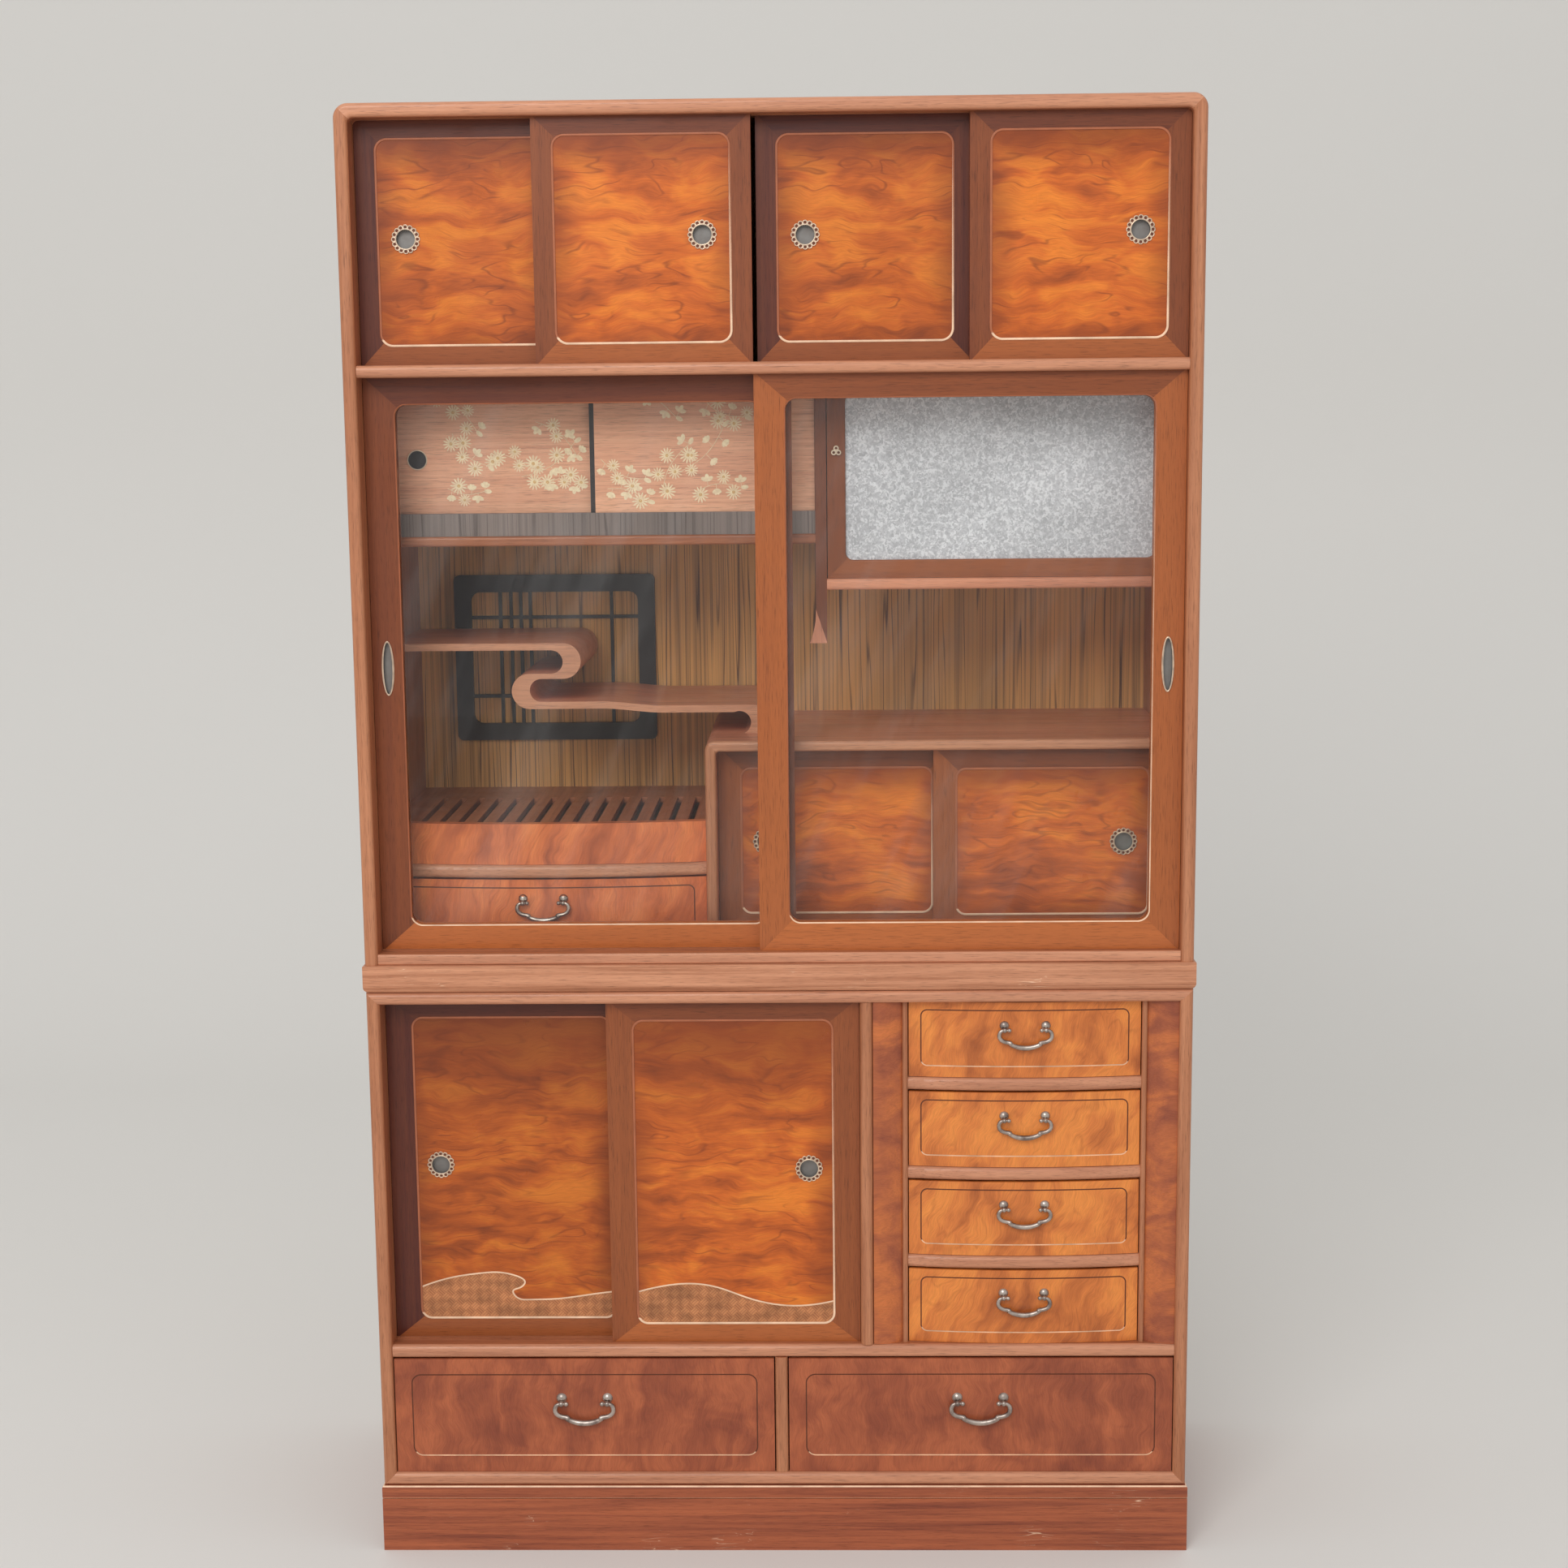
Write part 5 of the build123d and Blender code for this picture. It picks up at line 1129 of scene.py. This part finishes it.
class MIZUYA_OT_bay(Operator):
    """Give the bay its bowed board, fascia, slatted rack and drawer"""
    bl_idname = "mizuya.bay"
    bl_label = "Bay"

    def execute(self, context):
        palette = Palette(context)
        coat_boards(palette, ALONG_X, "bay_board", reach=24.0)
        figure = {"run": 200, "across": 40, "lean": math.radians(14), "lines": 0.25}
        Faces("bay_fascia").coat(palette.figured("fascia_wood", "bay", ALONG_Z, seed=9.0, **figure))
        bearer_top, posts = 960, (-308.5, 862.5)
        rack = Faces("slat_rack")
        rack.coat(palette.case(ALONG_X), (palette.case(ALONG_Y), rack.z > bearer_top))
        dress_drawer(palette, "bay_drawer", posts, SMALL_BAIL, 84.0, 18.0,
                     palette.figured("bay_drawer_wood", "bay", ALONG_Z, seed=9.1, **figure))
        return {"FINISHED"}


class MIZUYA_OT_cloud_shelf(Operator):
    """Give the cloud shelf its wood and the lattice window its lacquer"""
    bl_idname = "mizuya.cloud_shelf"
    bl_label = "Cloud Shelf and Lattice"

    def execute(self, context):
        palette = Palette(context)
        coat_boards(palette, ALONG_X, "cloud_shelf", body=palette.counter(ALONG_X), reach=3.0)
        Faces("lattice_window").coat(palette.lacquer())
        return {"FINISHED"}


class MIZUYA_OT_lower_case(Operator):
    """Give the lower case its boards, dividers, pilasters and drawer boards"""
    bl_idname = "mizuya.lower_case"
    bl_label = "Lower Case"

    def execute(self, context):
        palette = Palette(context)
        coat_boards(palette, ALONG_X, "lower_top_board", "lower_bottom_board", "lower_mid_shelf")
        coat_boards(palette, ALONG_Z, "lower_side_left", "lower_side_right", "base_divider")
        coat_boards(palette, ALONG_Z, "bay_divider", reach=9.0)
        coat_boards(palette, ALONG_Z, "drawer_guides", reach=4.0)
        coat_boards(palette, ALONG_X, "drawer_boards", reach=18.0)
        Faces("lower_back_panel").coat(palette.plain(ALONG_Z))
        figured = palette.figured("pilaster_wood", "pilaster", ALONG_X, run=90, across=44,
                                  seed=14.0, level=0.96, lines=0.15)
        Faces("pilasters").coat(figured)
        return {"FINISHED"}


class MIZUYA_OT_lower_doors(Operator):
    """Give the two lower sliding doors their burl, woven foot, wave line and pulls"""
    bl_idname = "mizuya.lower_doors"
    bl_label = "Lower Doors"

    def execute(self, context):
        palette = Palette(context)
        # The left door runs at the rear and gets darker frames and burl than the right: painted
        # shade.
        for side, lights, seed, level in (("left", (0.03, 0.03, 0.4), 11.1, 0.76),
                                          ("right", (0.34, 0.22, 0.58), 10.9, 0.94)):
            dress_panel_door(palette, f"{side}_lower_door", LOWER_DOOR, side == "left", lights,
                             380.0, run=150, across=32, seed=seed, top=190, level=level, lines=0.4)
        return {"FINISHED"}


class MIZUYA_OT_drawers(Operator):
    """Give the bow-front and base drawers their figured fronts, lines and boxes"""
    bl_idname = "mizuya.drawers"
    bl_label = "Drawers"

    def execute(self, context):
        palette = Palette(context)
        stack_middle = (316.5, 0, 500)
        bowed = palette.figured("bow_drawer_wood", "drawer", ALONG_Z, run=150, across=46,
                                centre=stack_middle, lean=math.radians(20), seed=17.0, lines=0.2)
        base = palette.figured("base_drawer_wood", "base", ALONG_Z, run=120, across=44,
                               seed=18.0, lines=0.2)
        for number in range(1, 5):
            low, high = span(f"bow_bail_{number}")
            dress_drawer(palette, f"bow_drawer_{number}", ((low[0] + high[0]) / 2, high[2] + 1.5),
                         SMALL_BAIL, 9.5, 10.0, bowed)
        for side in ("left", "right"):
            low, high = span(f"{side}_base_bail")
            dress_drawer(palette, f"{side}_base_drawer", ((low[0] + high[0]) / 2, high[2] + 1.8),
                         LARGE_BAIL, 6.0, 0.0, base, 22.0)
        return {"FINISHED"}


class MIZUYA_OT_bails(Operator):
    """Make the seven drop handles"""
    bl_idname = "mizuya.bails"
    bl_label = "Bails"

    def execute(self, context):
        palette = Palette(context)
        small = [f"bow_bail_{number}" for number in range(1, 5)] + ["bay_bail"]
        for node in small + ["left_base_bail", "right_base_bail"]:
            size = SMALL_BAIL if node in small else LARGE_BAIL
            make_bail(node, size, palette.fittings, palette.bail())
        return {"FINISHED"}


class MIZUYA_OT_slab_and_plinth(Operator):
    """Give the slab between the cases and the plinth their scuffed wood, and the moulding's slopes
    a painted highlight
    """
    bl_idname = "mizuya.slab_and_plinth"
    bl_label = "Slab and Plinth"

    def execute(self, context):
        palette = Palette(context)
        woods = palette.woods
        for name, light, dark in (("stack_slab", woods.rail_light, woods.edge_dark),
                                  ("plinth_moulding", woods.base_light, woods.base_dark),
                                  ("plinth_boards", woods.base_light, woods.base_dark)):
            faces = Faces(name)
            low, high = span(name)
            side = np.minimum(faces.x - low[0], high[0] - faces.x)
            end = np.minimum(faces.depth - low[1], high[1] - faces.depth)
            front, sides = (scuffed_wood(f"{name}_{'xyz'[along]}", along, light, dark,
                                         palette.gloss + 0.06, woods.inlay)
                            for along in (ALONG_X, ALONG_Y))
            frame_width = 45
            # Painted highlight: the moulding's sloped faces take the pale inlay tone where they
            # catch the light.
            level = np.abs(faces.facing[:, 2])
            sloped_highlight = (level > 0.5) & (level < 0.97) & (name == "plinth_moulding")
            faces.coat(front, (sides, (side < end) & (side < frame_width)), (palette.inlay(), sloped_highlight))
        return {"FINISHED"}


class MIZUYA_OT_stage(Operator):
    """Set up the floor, the backdrop, the lamps and the camera"""
    bl_idname = "mizuya.stage"
    bl_label = "Stage"

    def execute(self, context):
        settings = context.scene.mizuya_stage
        self.make_floor(settings.floor)
        self.make_light(context, settings)
        self.make_camera(context, settings.lens)
        context.scene.view_settings.view_transform = "Standard"
        return {"FINISHED"}

    def make_floor(self, tone):
        """A sheet that runs level, bends up behind and stands: a profile of straight runs and a
        quarter circle, carried along x."""
        reach, columns, bend_start, radius = 9.0, 7, 2.0, 1.6
        bend = np.radians(np.linspace(-90, 0, 16))
        depth = np.concatenate([[-reach, -4.0, 0.0], bend_start + radius * np.cos(bend),
                                [bend_start + radius] * 2])
        height = np.concatenate([[0.0] * 3, radius * (1 + np.sin(bend)), [4.0, 7.0]])
        across = np.linspace(-reach, reach, columns)
        points = np.stack(np.broadcast_arrays(across, depth[:, None], height[:, None]), -1)
        faces = strip_faces(len(depth), columns, False, False)[:, ::-1]
        mesh = bpy.data.meshes.new("floor")
        mesh.from_pydata(points.reshape(-1, 3).tolist(), [], faces.tolist())
        mesh.polygons.foreach_set("use_smooth", np.ones(len(mesh.polygons), bool))
        mesh.materials.append(plain_floor("floor_paint", tone))
        floor = bpy.data.objects.new("floor", mesh)
        bpy.context.scene.collection.objects.link(floor)

    def make_light(self, context, settings):
        """Even light all round and one large soft lamp above and in front."""
        world = bpy.data.worlds.new("studio")
        world.use_nodes = True
        sky = world.node_tree.nodes["Background"]
        sky.inputs["Color"].default_value = (1.0, 1.0, 1.0, 1.0)
        sky.inputs["Strength"].default_value = settings.sky
        context.scene.world = world
        lamp = bpy.data.lights.new("lamp", "AREA")
        lamp.shape, lamp.size, lamp.energy = "SQUARE", 2.4, settings.lamp
        holder = bpy.data.objects.new("lamp", lamp)
        holder.location = (-1.2, -4.4, 3.9)
        holder.rotation_euler = (math.radians(56), 0.0, math.radians(-15))
        context.scene.collection.objects.link(holder)

    def make_camera(self, context, lens):
        """A camera by its place and its three turns: down, sideways and about its own axis."""
        place = (0.074534, -3.145978, 1.487783)
        down, aside, roll = np.radians((8.8594, 1.2512, 0.5770))
        turn = (Matrix.Rotation(aside, 3, "Z") @ Matrix.Rotation(-down, 3, "X")
                @ Matrix.Rotation(roll, 3, "Y"))
        right, forward, up = turn.col
        facing = Matrix((right, up, -forward)).transposed()
        data = bpy.data.cameras.new("camera")
        data.sensor_width, data.lens = 36.0, lens
        camera = bpy.data.objects.new("camera", data)
        camera.matrix_world = Matrix.Translation(place) @ facing.to_4x4()
        context.scene.collection.objects.link(camera)
        context.scene.camera = camera


OPERATORS = (
    MIZUYA_OT_upper_case, MIZUYA_OT_top_doors, MIZUYA_OT_glass_doors, MIZUYA_OT_cupboards,
    MIZUYA_OT_blossom_doors, MIZUYA_OT_counter, MIZUYA_OT_bay, MIZUYA_OT_cloud_shelf,
    MIZUYA_OT_lower_case, MIZUYA_OT_lower_doors, MIZUYA_OT_drawers, MIZUYA_OT_bails,
    MIZUYA_OT_slab_and_plinth, MIZUYA_OT_stage,
)


class MIZUYA_PT_sidebar(Panel):
    """Lists the steps that dress the cabinet"""
    bl_idname = "MIZUYA_PT_sidebar"
    bl_label = "Mizuya Cabinet"
    bl_space_type = "VIEW_3D"
    bl_region_type = "UI"
    bl_category = "Mizuya"

    def draw(self, context):
        column = self.layout.column(align=True)
        for operator in OPERATORS:
            column.operator(operator.bl_idname)
        for group in GROUPS:
            settings = getattr(context.scene, group)
            box = self.layout.box()
            for key in settings.bl_rna.properties.keys():
                if key not in ("rna_type", "name"):
                    box.prop(settings, key)


GROUPS = {"mizuya_woods": CabinetWoods, "mizuya_fittings": CabinetFittings,
          "mizuya_stage": CabinetStage}


def register():
    """Make the settings, the steps and the panel known to Blender."""
    for group in GROUPS.values():
        bpy.utils.register_class(group)
    for name, group in GROUPS.items():
        setattr(bpy.types.Scene, name, PointerProperty(type=group))
    for operator in OPERATORS:
        bpy.utils.register_class(operator)
    bpy.utils.register_class(MIZUYA_PT_sidebar)


def unregister():
    """Take them away again."""
    bpy.utils.unregister_class(MIZUYA_PT_sidebar)
    for operator in reversed(OPERATORS):
        bpy.utils.unregister_class(operator)
    for name, group in GROUPS.items():
        delattr(bpy.types.Scene, name)
        bpy.utils.unregister_class(group)


def main():
    """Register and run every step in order."""
    register()
    for operator in OPERATORS:
        group, step = operator.bl_idname.split(".")
        getattr(getattr(bpy.ops, group), step)()


if __name__ == "__main__":
    main()
